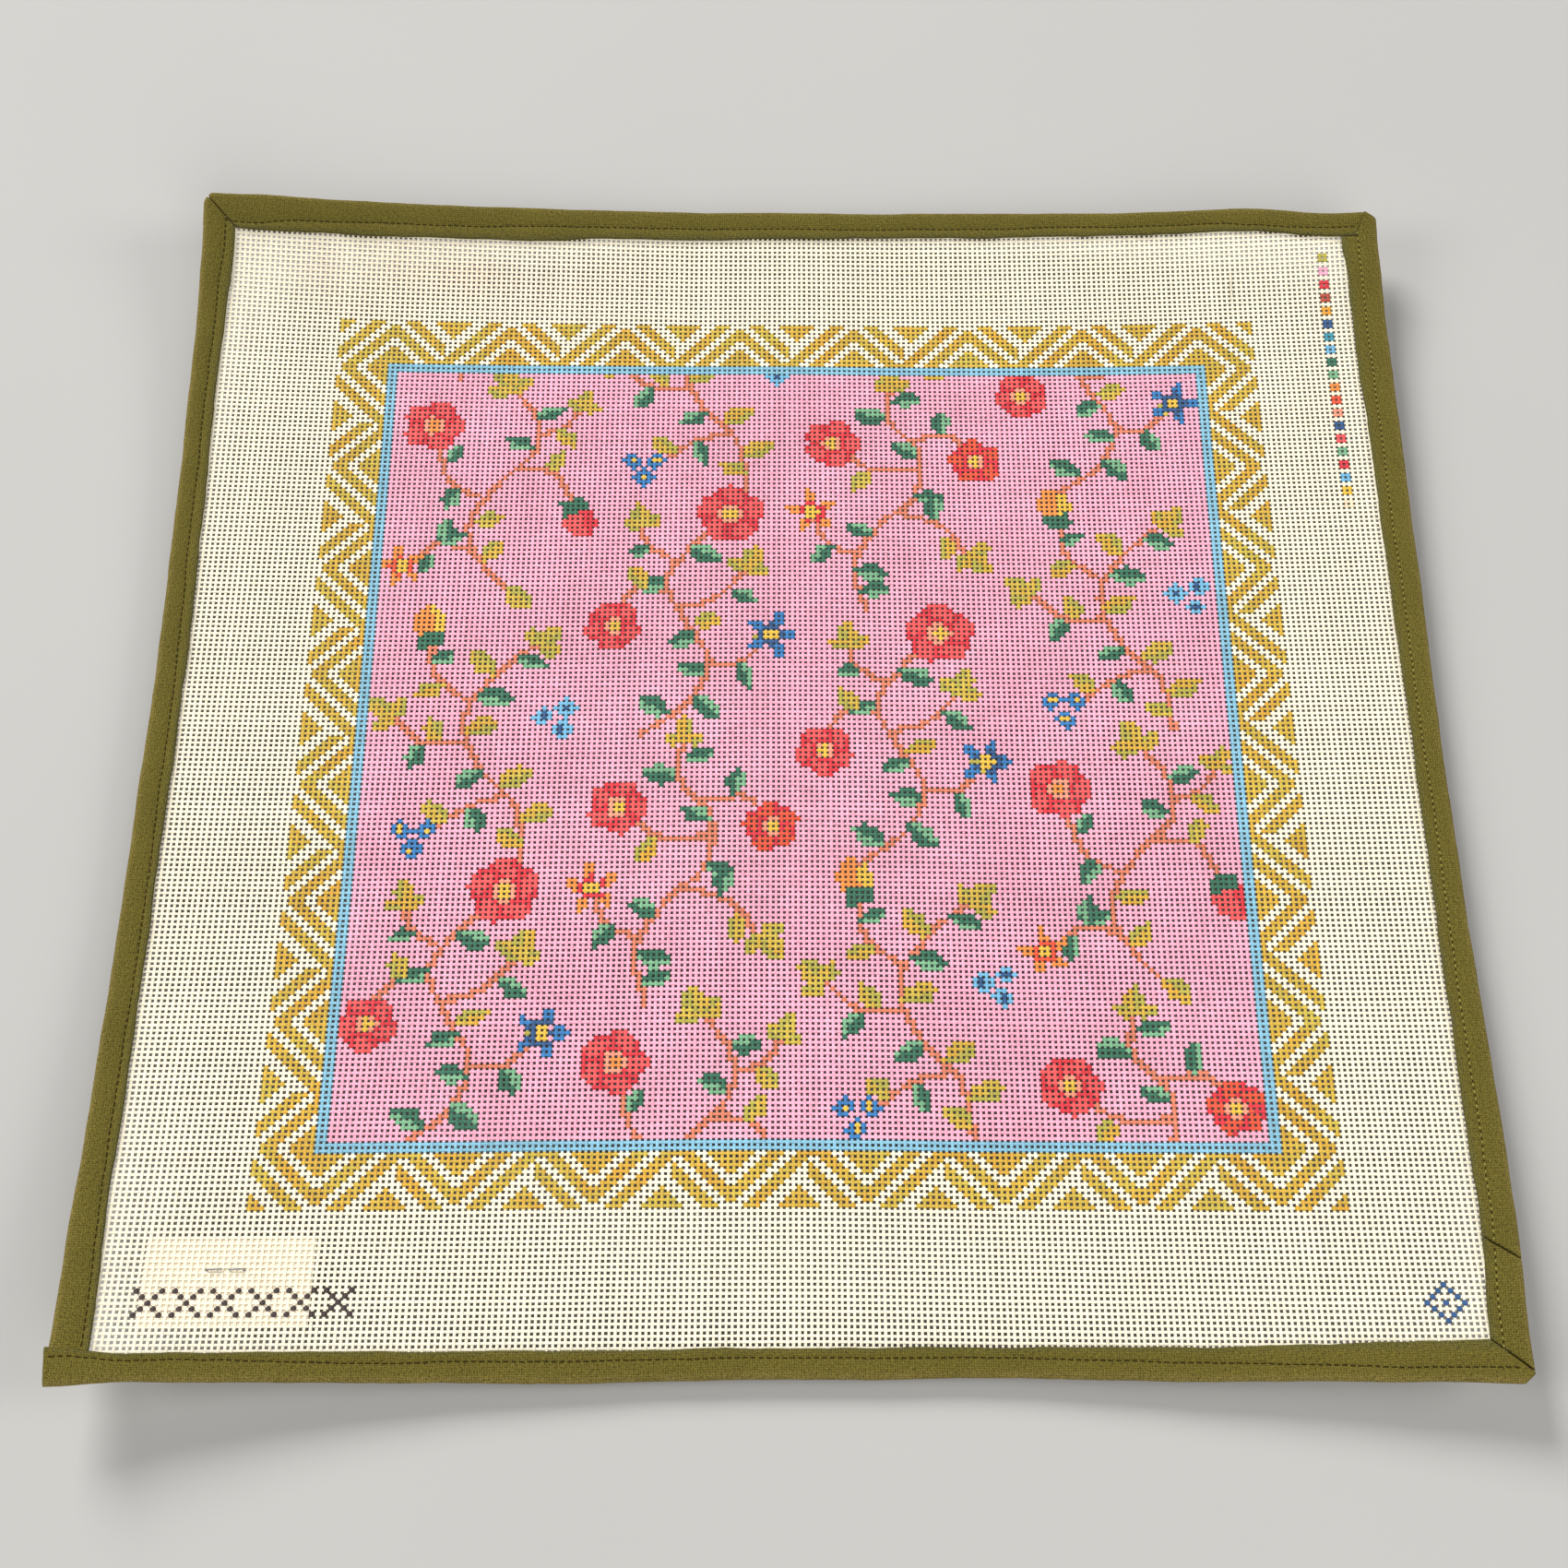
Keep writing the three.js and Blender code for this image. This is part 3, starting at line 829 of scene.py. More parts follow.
class Weave:
    """Where every crossing of the canvas lies, how wide its threads are, and its colour.
    One more crossing than is woven stands all round, so that thread ends can reach half
    way to it."""

    def __init__(self, sizes, paints):
        i, j = crossings()
        chart = canvas_chart(i, j)
        colours = painted_colours(paints, chart, i, j)
        self.colours = np.pad(colours, ((1, 1), (1, 1), (0, 0)), mode="edge")
        painted = np.pad(chart != paint_index("bare"), 1, mode="edge")
        self.i = np.arange(WEAVE_SPAN["left"] - 1, WEAVE_SPAN["right"] + 1)
        self.j = np.arange(WEAVE_SPAN["near"] - 1, WEAVE_SPAN["far"] + 1)
        columns, rows = len(self.i), len(self.j)
        pitch = sizes.pitch / MM
        wander = sizes.wander / MM
        random = np.random.default_rng(SEED + 5)
        shift = random.normal(0, WHOLE_SHIFT * wander, columns)[:, None]
        drop = random.normal(0, WHOLE_SHIFT * wander, rows)[None, :]
        self.u = (self.i[:, None] + 0.5 - CENTRE_HOLE["i"]) * pitch + shift
        self.u = self.u + wander * clouds(columns, rows, CLOUD_SPACING, SEED + 6)
        self.v = (self.j[None, :] + 0.5 - CENTRE_HOLE["j"]) * pitch + drop
        self.v = self.v + wander * clouds(columns, rows, CLOUD_SPACING, SEED + 7)
        # Painted shade on the threads' sides in the holes, all but none where the patch lies behind
        patched = between(self.u, LABEL["left"], LABEL["right"])
        patched &= between(self.v, LABEL["near"], LABEL["far"])
        self.sides = np.where(patched, SIDE_SHADE["patched"], SIDE_SHADE["open"])
        over = np.where((self.i[:, None] + self.j[None, :]) % 2 == 0, 1.0, -1.0)
        self.lift = over * sizes.crimp / MM
        half = np.where(painted, sizes.painted_wide, sizes.thread_wide) / MM / 2
        self.up_half = half * plumpness(random, (columns, 1), over.shape)
        self.across_half = half * plumpness(random, (1, rows), over.shape)
        self.thick = sizes.thread_thick / MM / 2


def half_way_ends(values):
    """Rows of crossings, with the first and last drawn half way to their neighbours."""
    first = (values[:, :1] + values[:, 1:2]) / 2
    last = (values[:, -2:-1] + values[:, -1:]) / 2
    return np.concatenate([first, values[:, 1:-1], last], 1)


def threads(u, v, lift, half, thick, along_u):
    """Threads as four-sided tubes, a ring at each crossing: two points above, two below."""
    u, v, lift, half = (half_way_ends(values) for values in (u, v, lift, half))
    height = CANVAS_MIDDLE + lift
    ring = []
    for side, level in ((-1, 1), (1, 1), (1, -1), (-1, -1)):
        width = side * half * (1.0 if level > 0 else UNDER_WIDTH)
        place = (u, v - width) if along_u else (u + width, v)
        ring.append(np.stack([*place, height + level * thick], -1))
    return np.stack(ring, -2)


def thread_paint(colours, sides, rings):
    """For each wall face, the paints of the crossings that it starts from and runs to, and
    how far along between them its corners are. The faces run top, side, bottom, side. The
    sides are darkened, to stand for the shade in the holes, and the bottom is paler: less
    paint reaches it."""
    near = np.repeat(colours[:, :-1][:, :, None], 4, 2)
    far = np.repeat(colours[:, 1:][:, :, None], 4, 2)
    cream = colours.max() * np.array(UNDER_PAINT["cream"])
    for paint, shade in ((near, sides[:, :-1]), (far, sides[:, 1:])):
        paint[:, :, 1::2] *= shade[..., None, None]
        paint[:, :, 2] = UNDER_PAINT["paint"] * paint[:, :, 2] + UNDER_PAINT["bare"] * cream
    count = colours.shape[0]
    low = np.zeros(rings - 1)
    high = np.ones(rings - 1)
    low[0] = 0.5
    high[-1] = 0.5
    along = np.stack([low, low, high, high], -1)
    along = np.broadcast_to(along[None, :, None], (count, rings - 1, 4, 4))
    side = np.arange(4)[:, None] / 4 + np.array([0, 0.25, 0.25, 0])
    side = np.broadcast_to(side[None, None], along.shape)
    return near.reshape(-1, 3), far.reshape(-1, 3), np.stack([side, along], -1).reshape(-1, 4, 2)


def weave_strip(weave, number, first, last, material):
    """A strip of the canvas: its upright threads' stretch from row first up to row last,
    and the cross threads of those rows."""
    rows = slice(first - 1, last + 1)
    upright = threads(
        weave.u[1:-1, rows],
        weave.v[1:-1, rows],
        weave.lift[1:-1, rows],
        weave.up_half[1:-1, rows],
        weave.thick,
        along_u=False,
    )
    inner = slice(first, last)
    across = threads(
        weave.u[:, inner].T,
        weave.v[:, inner].T,
        -weave.lift[:, inner].T,
        weave.across_half[:, inner].T,
        weave.thick,
        along_u=True,
    )
    flats, faces, ends, near, far, places = [], [], [], [], [], []
    start = 0
    for flat, colours, sides in (
        (upright, weave.colours[1:-1, rows], weave.sides[1:-1, rows]),
        (across, weave.colours[:, inner].transpose(1, 0, 2), weave.sides[:, inner].T),
    ):
        tubes, rings = flat.shape[:2]
        flats.append(flat.reshape(-1, 3))
        faces.append(tube_faces(rings, 4, tubes) + start)
        ends.append(end_faces(rings, tubes) + start)
        start += tubes * rings * 4
        for kept, made in zip((near, far, places), thread_paint(colours, sides, rings)):
            kept.append(made)
    flat = np.concatenate(flats)
    walls = np.concatenate(faces)
    caps = np.concatenate(ends)
    points = lay(*flat.T)
    every_face = np.concatenate([walls, caps])
    piece = new_piece(f"canvas_weave_{number}", points, every_face, material, "canvas")
    nil = np.zeros((len(caps), 3))
    face_values(piece, "paint_near", np.concatenate(near + [nil]))
    face_values(piece, "paint_far", np.concatenate(far + [nil]))
    corner_map(piece, "Thread", np.concatenate(places + [np.zeros((len(caps), 4, 2))]))
    corner_map(piece, "OFBake", spread_map(flat, walls, caps))
    keep_flat(piece, np.arange(len(walls) + len(caps)) >= len(walls))
    keep_corners(piece)
    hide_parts("canvas")
    return piece


def spread_map(flat, walls, caps):
    """The strip seen from above and from below, one over the other, stretched to fill."""
    margin, tall, half = 0.01, 0.48, 0.5
    low, size = flat.min(0), np.ptp(flat, axis=0)
    place = (flat[:, :2] - low[:2]) / size[:2]
    place[:, 1] = margin + tall * place[:, 1]
    corners = place[np.concatenate([walls, caps])]
    upper = np.arange(len(walls)) % 4 == 0
    corners[: len(walls)][upper, :, 1] += half
    return corners


# The folded tape


def tape_section(width, sewn, upper):
    """Heights of one leaf's outer face at places in from the fold. The leaf is round at its
    hem, puffs up a little between its edges and is drawn in along the sewn line, by a bell
    curve round it."""
    rounding, beside, past, fold_end = 0.45, 0.4, 1.1, TAPE_HALF + 0.6
    places = [
        width,
        width - 0.1,
        width - rounding,
        0.5 * (width - rounding + sewn + past),
        sewn + past,
        sewn + beside,
        sewn,
        sewn - beside,
        sewn - past,
        0.5 * (sewn - past + fold_end),
        fold_end + 0 * width,
    ]
    x = np.stack(places, -1)
    hem = np.array([0.55, 0.22] + [0.0] * 9)
    drawn = 0.30 * np.exp(-(((x - sewn[..., None]) / 0.75) ** 2))
    puffed = np.array([0, 0, 0, 0.10, 0.05, 0, 0, 0, 0.08, 0.14, 0.06])
    height = TAPE_HALF - hem - drawn + puffed * (1.0 if upper else 0.5)
    return x, height


def between_ends(tape, share, inward):
    """Places at shares of the way from one end to the other, at distances in from the fold."""
    ends = []
    for end in ("start", "stop"):
        rows = tape[end]
        ends.append(np.interp(inward, [row[0] for row in rows], [row[1] for row in rows]))
    return ends[0] + (ends[1] - ends[0]) * share


def tape_edges(name, share):
    """The outer fold, the width and the sewn line at shares of a tape's length. They waver
    a little, the fold and the hem less and less towards the ends, where the tapes meet."""
    tape = TAPES[name]
    side = tape["side"]
    seed = SEED + 20 + 5 * list(TAPES).index(name)
    fold_place = between_ends(tape, share, 0.0)
    hem_place = between_ends(tape, share, HEM_DEPTH)
    length = tape["stop"][0][1] - tape["start"][0][1]
    settled = np.clip(np.minimum(share, 1 - share) * length / SETTLED, 0, 1)
    waver = TAPE_WAVER
    outer = edge_at(side, OUTER, fold_place)
    outer = outer + waver["fold"] * settled * uneven(fold_place, seed)
    inner = edge_at(side, INNER, hem_place)
    inner = inner + waver["hem"] * settled * uneven(hem_place, seed + 1, 60)
    width = outer - inner
    table = SEWN_LINES[side]
    sewn = eased([row[0] for row in table], [row[1] for row in table], fold_place)
    sewn = sewn + waver["sewn"] * uneven(fold_place, seed + 2, 40)
    return outer, width, np.minimum(sewn, width - HEM_CLEAR)


def tape_rings(name, step):
    """Rows of points round the folded tape: over the upper leaf, round the fold and back
    under it, and then the same way round the inside of the fold."""
    tape = TAPES[name]
    span = tape["stop"][0][1] - tape["start"][0][1]
    count = max(int(span / step), 6)
    ends = np.array(TAPE_ENDS) / span
    clear = TAPE_END_CLEAR / span
    share = np.concatenate([ends, np.linspace(clear, 1 - clear, count), 1 - ends[::-1]])
    outer, width, sewn = tape_edges(name, share)
    to_end = np.minimum(share, 1 - share) * span
    whole = np.minimum(to_end / END_ROUND["reach"], 1)
    rounded = END_ROUND["least"] + END_ROUND["rest"] * np.sqrt(1 - (1 - whole) ** 2)
    upper_x, upper_height = tape_section(width, sewn, True)
    lower_x, lower_height = tape_section(width - UNDER_SHORT, sewn, False)
    angles = np.radians(np.linspace(FOLD["angle"], -FOLD["angle"], FOLD["steps"]))
    nil = np.zeros_like(width)[:, None]
    fold_x = TAPE_HALF - TAPE_HALF * np.cos(angles) + nil
    x = np.concatenate([upper_x, fold_x, lower_x[:, ::-1]], 1)
    fold_height = TAPE_HALF * np.sin(angles) + nil
    height = np.concatenate([upper_height, fold_height, -lower_height[:, ::-1]], 1)
    slot = TAPE_SLOT * SLOT_FLAT
    slot_fold = TAPE_HALF - TAPE_SLOT * np.cos(angles) + nil
    slot_x = np.concatenate([upper_x, slot_fold, lower_x[:, ::-1]], 1)
    leaf = np.full(upper_x.shape[1], slot)
    slot_height = np.concatenate([leaf, slot * np.sin(angles), -leaf]) + nil
    ring_x = np.concatenate([x, slot_x[:, ::-1]], 1)
    ring_height = np.concatenate([height, slot_height[:, ::-1]], 1) * rounded[:, None]
    along = between_ends(tape, share[:, None], ring_x)
    return along, outer, width, ring_x, ring_height


def on_side(side, along, out, height):
    """Places along and out from a side of the sheet, laid down."""
    sign = -1 if side in ("left", "bottom") else 1
    if side in ("left", "right"):
        return lay(sign * out, along, CANVAS_MIDDLE + height)
    return lay(along, sign * out, CANVAS_MIDDLE + height)


def tape_piece(name, looks, material):
    """One length of folded tape: rings along it, closed by a face at each end. Its cloth
    map runs on the bias, along and round the tape turned by half a right angle."""
    side = TAPES[name]["side"]
    along, outer, width, x, height = tape_rings(name, looks.station / MM)
    points = on_side(side, along, outer[:, None] - x, height)
    rings, sides = x.shape
    walls = tube_faces(rings, sides)
    inward = np.arange(sides // 2 - 1)
    ends = np.stack([inward, sides - 1 - inward, sides - 2 - inward, inward + 1], -1)
    caps = np.concatenate([ends, (rings - 1) * sides + ends[:, ::-1]])
    if side in ("left", "top"):
        walls, caps = walls[:, ::-1], caps[:, ::-1]
    faces = np.concatenate([walls, caps])
    piece = new_piece(name + "_tape", points.reshape(-1, 3), faces, material, "binding")
    keep_flat(piece, np.arange(len(faces)) >= len(walls))
    step_x = np.diff(x, axis=1, prepend=x[:, :1])
    step_height = np.diff(height, axis=1, prepend=height[:, :1])
    around = np.cumsum(np.hypot(step_x, step_height), 1)
    on_the_bias = np.stack([along + around, along - around], -1) * math.sqrt(0.5)
    corner_map(piece, "Cloth", on_the_bias.reshape(-1, 2)[faces])
    point_values(piece, "fold", np.exp(-((x / 1.5) ** 2)))
    point_values(piece, "hem", np.exp(-(((width[:, None] - x) / 1.1) ** 2)))
    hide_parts(name)
    return piece


# Materials


class ShaderNodes:
    """Adds nodes to a tree and joins them."""

    def __init__(self, tree):
        self.tree = tree

    def add(self, kind, **settings):
        node = self.tree.nodes.new(kind)
        for key, value in settings.items():
            setattr(node, key, value)
        return node

    def join(self, output, socket):
        self.tree.links.new(output, socket)

    def maths(self, operation, first, second=None):
        node = self.add("ShaderNodeMath", operation=operation)
        for socket, value in zip(node.inputs, (first, second)):
            if value is None:
                continue
            if isinstance(value, (int, float)):
                socket.default_value = value
            else:
                self.join(value, socket)
        return node.outputs[0]

    def mix(self, factor, first, second, blend="MIX"):
        node = self.add("ShaderNodeMix", data_type="RGBA", blend_type=blend)
        sockets = (node.inputs[0], node.inputs[6], node.inputs[7])
        for socket, value in zip(sockets, (factor, first, second)):
            if isinstance(value, bpy.types.NodeSocket):
                self.join(value, socket)
            elif isinstance(value, (int, float)):
                socket.default_value = value
            else:
                socket.default_value = (*value, 1.0)
        return node.outputs[2]

    def grey(self, value):
        """A colour with the same value in each channel."""
        node = self.add("ShaderNodeCombineXYZ")
        for socket in node.inputs:
            self.join(value, socket)
        return node.outputs[0]


def effect_group(name, inputs, outputs):
    """An empty node group with its sockets, and its two end nodes."""
    tree = bpy.data.node_groups.new(name, "ShaderNodeTree")
    for label, kind, value in inputs:
        socket = tree.interface.new_socket(name=label, in_out="INPUT", socket_type=kind)
        if value is not None:
            socket.default_value = value
    for label, kind in outputs:
        tree.interface.new_socket(name=label, in_out="OUTPUT", socket_type=kind)
    nodes = ShaderNodes(tree)
    return nodes, nodes.add("NodeGroupInput"), nodes.add("NodeGroupOutput")


def mottle_group():
    """Mottle: a colour made lighter and darker in soft patches of a given size."""
    if "Mottle" in bpy.data.node_groups:
        return bpy.data.node_groups["Mottle"]
    nodes, given, out = effect_group(
        "Mottle",
        [
            ("Colour", "NodeSocketColor", None),
            ("Scale", "NodeSocketFloat", 100.0),
            ("Amount", "NodeSocketFloat", 0.1),
        ],
        [("Colour", "NodeSocketColor"), ("Value", "NodeSocketFloat")],
    )
    place = nodes.add("ShaderNodeTexCoord")
    noise = nodes.add("ShaderNodeTexNoise")
    noise.inputs["Detail"].default_value = 3.0
    nodes.join(place.outputs["Object"], noise.inputs["Vector"])
    nodes.join(given.outputs["Scale"], noise.inputs["Scale"])
    centred = nodes.maths("SUBTRACT", noise.outputs[0], 0.5)
    swing = nodes.maths("MULTIPLY", centred, given.outputs["Amount"])
    gain = nodes.maths("ADD", nodes.maths("MULTIPLY", swing, 2.0), 1.0)
    shaded = nodes.mix(1.0, given.outputs["Colour"], nodes.grey(gain), "MULTIPLY")
    nodes.join(shaded, out.inputs["Colour"])
    nodes.join(noise.outputs[0], out.inputs["Value"])
    return nodes.tree


def weave_group():
    """Fine weave: the relief of a plain cloth, two sines that swap from square to square,
    on a map in millimetres."""
    if "Fine weave" in bpy.data.node_groups:
        return bpy.data.node_groups["Fine weave"]
    nodes, given, out = effect_group(
        "Fine weave",
        [("Map", "NodeSocketVector", None), ("Pitch", "NodeSocketFloat", 0.45)],
        [("Height", "NodeSocketFloat")],
    )
    split = nodes.add("ShaderNodeSeparateXYZ")
    nodes.join(given.outputs["Map"], split.inputs[0])
    turn = nodes.maths("DIVIDE", math.pi, given.outputs["Pitch"])
    waves = []
    for axis in ("X", "Y"):
        angle = nodes.maths("MULTIPLY", split.outputs[axis], turn)
        waves.append(nodes.maths("SINE", angle))
    both = nodes.maths("MULTIPLY", waves[0], waves[1])
    nodes.join(nodes.maths("ADD", nodes.maths("MULTIPLY", both, 0.5), 0.5), out.inputs["Height"])
    return nodes.tree


def new_material(name, roughness, metallic=0.0):
    """A material of one shader, with its nodes at hand."""
    material = bpy.data.materials.new(name)
    material.use_nodes = True
    nodes = ShaderNodes(material.node_tree)
    shader = material.node_tree.nodes["Principled BSDF"]
    shader.inputs["Roughness"].default_value = roughness
    shader.inputs["Metallic"].default_value = metallic
    return material, nodes, shader


def use_group(nodes, tree, **values):
    """A use of a node group, its inputs set to plain values or joined to other nodes."""
    group = nodes.add("ShaderNodeGroup", node_tree=tree)
    for key, value in values.items():
        socket = group.inputs[key]
        if isinstance(value, bpy.types.NodeSocket):
            nodes.join(value, socket)
        else:
            socket.default_value = value
    return group


def mottle_base(nodes, shader, colour, scale, amount):
    """Gives a material its colour, in soft patches, and hands back their values."""
    mottled = use_group(nodes, mottle_group(), Colour=colour, Scale=scale, Amount=amount)
    nodes.join(mottled.outputs["Colour"], shader.inputs["Base Color"])
    return mottled.outputs["Value"]


def raise_bump(nodes, shader, height, distance):
    """Relief on a material: a height, and the millimetres that it is multiplied by."""
    bump = nodes.add("ShaderNodeBump")
    bump.inputs["Distance"].default_value = distance * MM
    bump.inputs["Strength"].default_value = 1.0
    nodes.join(height, bump.inputs["Height"])
    nodes.join(bump.outputs[0], shader.inputs["Normal"])


def painted_thread_material():
    """Canvas thread: each face changes from one crossing's paint to the next's half way,
    and has the twist of its yarn."""
    material, nodes, shader = new_material("painted canvas thread", 0.72)
    near = nodes.add("ShaderNodeAttribute", attribute_name="paint_near")
    far = nodes.add("ShaderNodeAttribute", attribute_name="paint_far")
    place = nodes.add("ShaderNodeUVMap", uv_map="Thread")
    split = nodes.add("ShaderNodeSeparateXYZ")
    nodes.join(place.outputs[0], split.inputs[0])
    past_middle = nodes.maths("GREATER_THAN", split.outputs["Y"], 0.5)
    paint = nodes.mix(past_middle, near.outputs["Color"], far.outputs["Color"])
    mottle_base(nodes, shader, paint, 900.0, 0.10)
    round_it = nodes.maths("MULTIPLY", split.outputs["X"], 2.0)
    twist = nodes.maths("ADD", round_it, nodes.maths("MULTIPLY", split.outputs["Y"], 3.0))
    yarn = nodes.maths("SINE", nodes.maths("MULTIPLY", twist, 2 * math.pi))
    across = nodes.maths("SINE", nodes.maths("MULTIPLY", split.outputs["X"], 4 * math.pi))
    height = nodes.maths("ADD", nodes.maths("MULTIPLY", yarn, 0.25), across)
    raise_bump(nodes, shader, height, 0.10)
    return material


def tape_material(looks):
    """Cotton tape: fine plain weave on the bias, paler in patches along its outer fold, a painted
    highlight together with wear, and greyer at its hem."""
    material, nodes, shader = new_material("cotton binding tape", 0.95)
    shader.inputs["Specular IOR Level"].default_value = 0.15
    place = nodes.add("ShaderNodeUVMap", uv_map="Cloth")
    weave = use_group(nodes, weave_group(), Map=place.outputs[0], Pitch=0.55)
    stretched = nodes.add("ShaderNodeMapping")
    stretched.inputs["Scale"].default_value = (1.0, 2.4, 1.0)
    nodes.join(place.outputs[0], stretched.inputs["Vector"])
    yarns = nodes.add("ShaderNodeTexNoise")
    yarns.inputs["Scale"].default_value = 1.0
    yarns.inputs["Detail"].default_value = 3.0
    nodes.join(stretched.outputs[0], yarns.inputs["Vector"])
    base = tuple(looks.cloth)
    # Paler patches along the outer fold, a painted highlight together with wear, and a greyer hem
    for name, edge_tint, amount in (("fold", looks.edge_tint, 1.2), ("hem", looks.hem, 0.9)):
        mask = nodes.add("ShaderNodeAttribute", attribute_name=name)
        edge_patches = use_group(nodes, mottle_group(), Colour=(1, 1, 1, 1), Scale=260.0, Amount=0.5)
        edge_amount = nodes.maths("MULTIPLY", mask.outputs["Fac"], edge_patches.outputs["Value"])
        base = nodes.mix(nodes.maths("MULTIPLY", edge_amount, amount), base, tuple(edge_tint))
    woven = nodes.maths("MULTIPLY", weave.outputs[0], 0.70)
    streaks = nodes.maths("MULTIPLY", yarns.outputs[0], 2.70)
    shade = nodes.maths("ADD", nodes.maths("ADD", woven, streaks), -0.72)
    woven = nodes.mix(1.0, base, nodes.grey(shade), "MULTIPLY")
    mottle_base(nodes, shader, woven, 50.0, 0.16)
    relief = nodes.maths("ADD", weave.outputs[0], nodes.maths("MULTIPLY", yarns.outputs[0], 2.0))
    raise_bump(nodes, shader, relief, 0.10)
    return material


def sewing_material(looks):
    """Machine thread: dark, partly as painted shade of the sunk stitches and needle holes, and
    light where the light mask is 1, a painted highlight on the thread.
    """
    material, nodes, shader = new_material("sewing thread", 0.9)
    shader.inputs["Specular IOR Level"].default_value = 0.1
    light = nodes.add("ShaderNodeAttribute", attribute_name="light")
    thread = nodes.mix(light.outputs["Fac"], tuple(looks.thread), tuple(looks.light_thread))
    patches = mottle_base(nodes, shader, thread, 700.0, 0.3)
    raise_bump(nodes, shader, patches, 0.03)
    return material


def patch_material(looks):
    """The patch's plain fine cloth."""
    material, nodes, shader = new_material("plain patch", 0.8)
    place = nodes.add("ShaderNodeTexCoord")
    scaled = nodes.add("ShaderNodeVectorMath", operation="SCALE")
    scaled.inputs["Scale"].default_value = 1 / MM
    nodes.join(place.outputs["Object"], scaled.inputs[0])
    weave = use_group(nodes, weave_group(), Map=scaled.outputs[0], Pitch=0.3)
    mottle_base(nodes, shader, (*looks.patch, 1), 150.0, 0.06)
    raise_bump(nodes, shader, weave.outputs[0], 0.04)
    return material


def wire_material(looks):
    """Drawn wire, a little uneven."""
    material, nodes, shader = new_material("staple wire", 0.34, metallic=1.0)
    patches = mottle_base(nodes, shader, (*looks.steel, 1), 500.0, 0.25)
    raise_bump(nodes, shader, patches, 0.02)
    return material


def floor_material(looks):
    """A plain pale floor, all but even in colour."""
    material, nodes, shader = new_material("floor", 0.9)
    mottle_base(nodes, shader, (*looks.floor, 1), 4.0, 0.03)
    return material


# Sewing, patch and staple


def stitch_places(name, pitch):
    """Ends and heights of every stitch along a length of tape, on the sewn line."""
    tape = TAPES[name]
    table = SEWN_LINES[tape["side"]]
    usual = float(np.mean([row[1] for row in table]))
    low = between_ends(tape, 0.0, usual) + STITCH["margin"]
    high = between_ends(tape, 1.0, usual) - STITCH["margin"]
    count = int((high - low) / pitch)
    first = low + (high - low) / count * np.arange(count)
    shares = np.array(STITCH["rings"])
    along = first[:, None] + pitch * STITCH["long"] * shares + 0.5 * pitch * (1 - STITCH["long"])
    inward = usual
    for _ in range(2):
        start = between_ends(tape, 0.0, inward)
        share = (along - start) / (between_ends(tape, 1.0, inward) - start)
        outer, _, inward = tape_edges(name, share)
    return along, outer - inward, TAPE_HALF + STITCH["drawn"] + STITCH_HEIGHTS + 0 * along


def stitch_rods(side, along, out, height):
    """Small four-sided rods on the upper and under faces, thin and sunk at both ends."""
    girth = STITCH["radius"] * np.array(STITCH["girth"])
    rods = []
    for face in (1, -1):
        centre = height * face
        ring = [
            (along, out - girth, centre),
            (along, out, centre + girth),
            (along, out + girth, centre),
            (along, out, centre - girth),
        ]
        rods.append(np.stack([on_side(side, *corner) for corner in ring], -2))
    rods = np.concatenate(rods)
    tubes, rings = rods.shape[:2]
    faces = np.concatenate([tube_faces(rings, 4, tubes), end_faces(rings, tubes)])
    if side in ("bottom", "right"):
        faces = faces[:, ::-1]
    return rods.reshape(-1, 3), faces


def turned_stitches():
    """The stitches that run down across the near right mitre, as they lie on the right side."""
    places = np.array(SEWN_TURN)
    shares = np.array([0.1, 0.25, 0.75, 0.9])
    first, last = places[:-1], places[1:]
    u = first[:, :1] + (last - first)[:, :1] * shares
    v = first[:, 1:] + (last - first)[:, 1:] * shares
    return v[:, ::-1], u[:, ::-1], TAPE_HALF + STITCH["turned"] + STITCH_HEIGHTS + 0 * u


def stitch_piece(name, looks, material):
    """A length of tape's stitches. Along the right side light stitches, a painted highlight on the
    thread, alternate with dark ones, painted shade of the needle holes.
    """
    side = TAPES[name]["side"]
    pitch = looks.stitch / MM
    if side == "right":
        pitch = pitch / 2
    along, out, height = stitch_places(name, pitch)
    points, faces = stitch_rods(side, along, out, height)
    number = np.arange(2 * len(along))
    # Light stitches along the right side: painted highlight on the thread, the dark ones between
    # painted shade of the needle holes
    light = ((number % 2 == 0) & (side == "right")).astype(float)
    if name == "binding_bottom":
        turn_points, turn_faces = stitch_rods("right", *turned_stitches())
        faces = np.concatenate([faces, turn_faces + len(points)])
        points = np.concatenate([points, turn_points])
        light = np.zeros(len(points) // ROD_POINTS)
    piece = new_piece(name + "_stitches", points, faces, material, "binding")
    point_values(piece, "light", np.repeat(light, ROD_POINTS))
    return piece


def grid_sheet(columns, rows, place, thick):
    """A closed sheet over a grid: place(u, v) gives its top, and thick its depth."""
    u, v = np.meshgrid(columns, rows, indexing="ij")
    top = place(u, v)
    points = np.stack([top, top - thick], 0)
    count, depth = len(columns), len(rows)
    number = np.arange(2 * count * depth).reshape(2, count, depth)
    upper, under = number
    faces = [
        np.stack([upper[:-1, :-1], upper[1:, :-1], upper[1:, 1:], upper[:-1, 1:]], -1).reshape(-1, 4),
        np.stack([under[:-1, :-1], under[:-1, 1:], under[1:, 1:], under[1:, :-1]], -1).reshape(-1, 4),
        np.stack([upper[:-1, 0], under[:-1, 0], under[1:, 0], upper[1:, 0]], -1),
        np.stack([upper[1:, -1], under[1:, -1], under[:-1, -1], upper[:-1, -1]], -1),
        np.stack([upper[0, 1:], under[0, 1:], under[0, :-1], upper[0, :-1]], -1),
        np.stack([upper[-1, :-1], under[-1, :-1], under[-1, 1:], upper[-1, 1:]], -1),
    ]
    return lay(np.stack([u, u]), np.stack([v, v]), points).reshape(-1, 3), np.concatenate(faces)


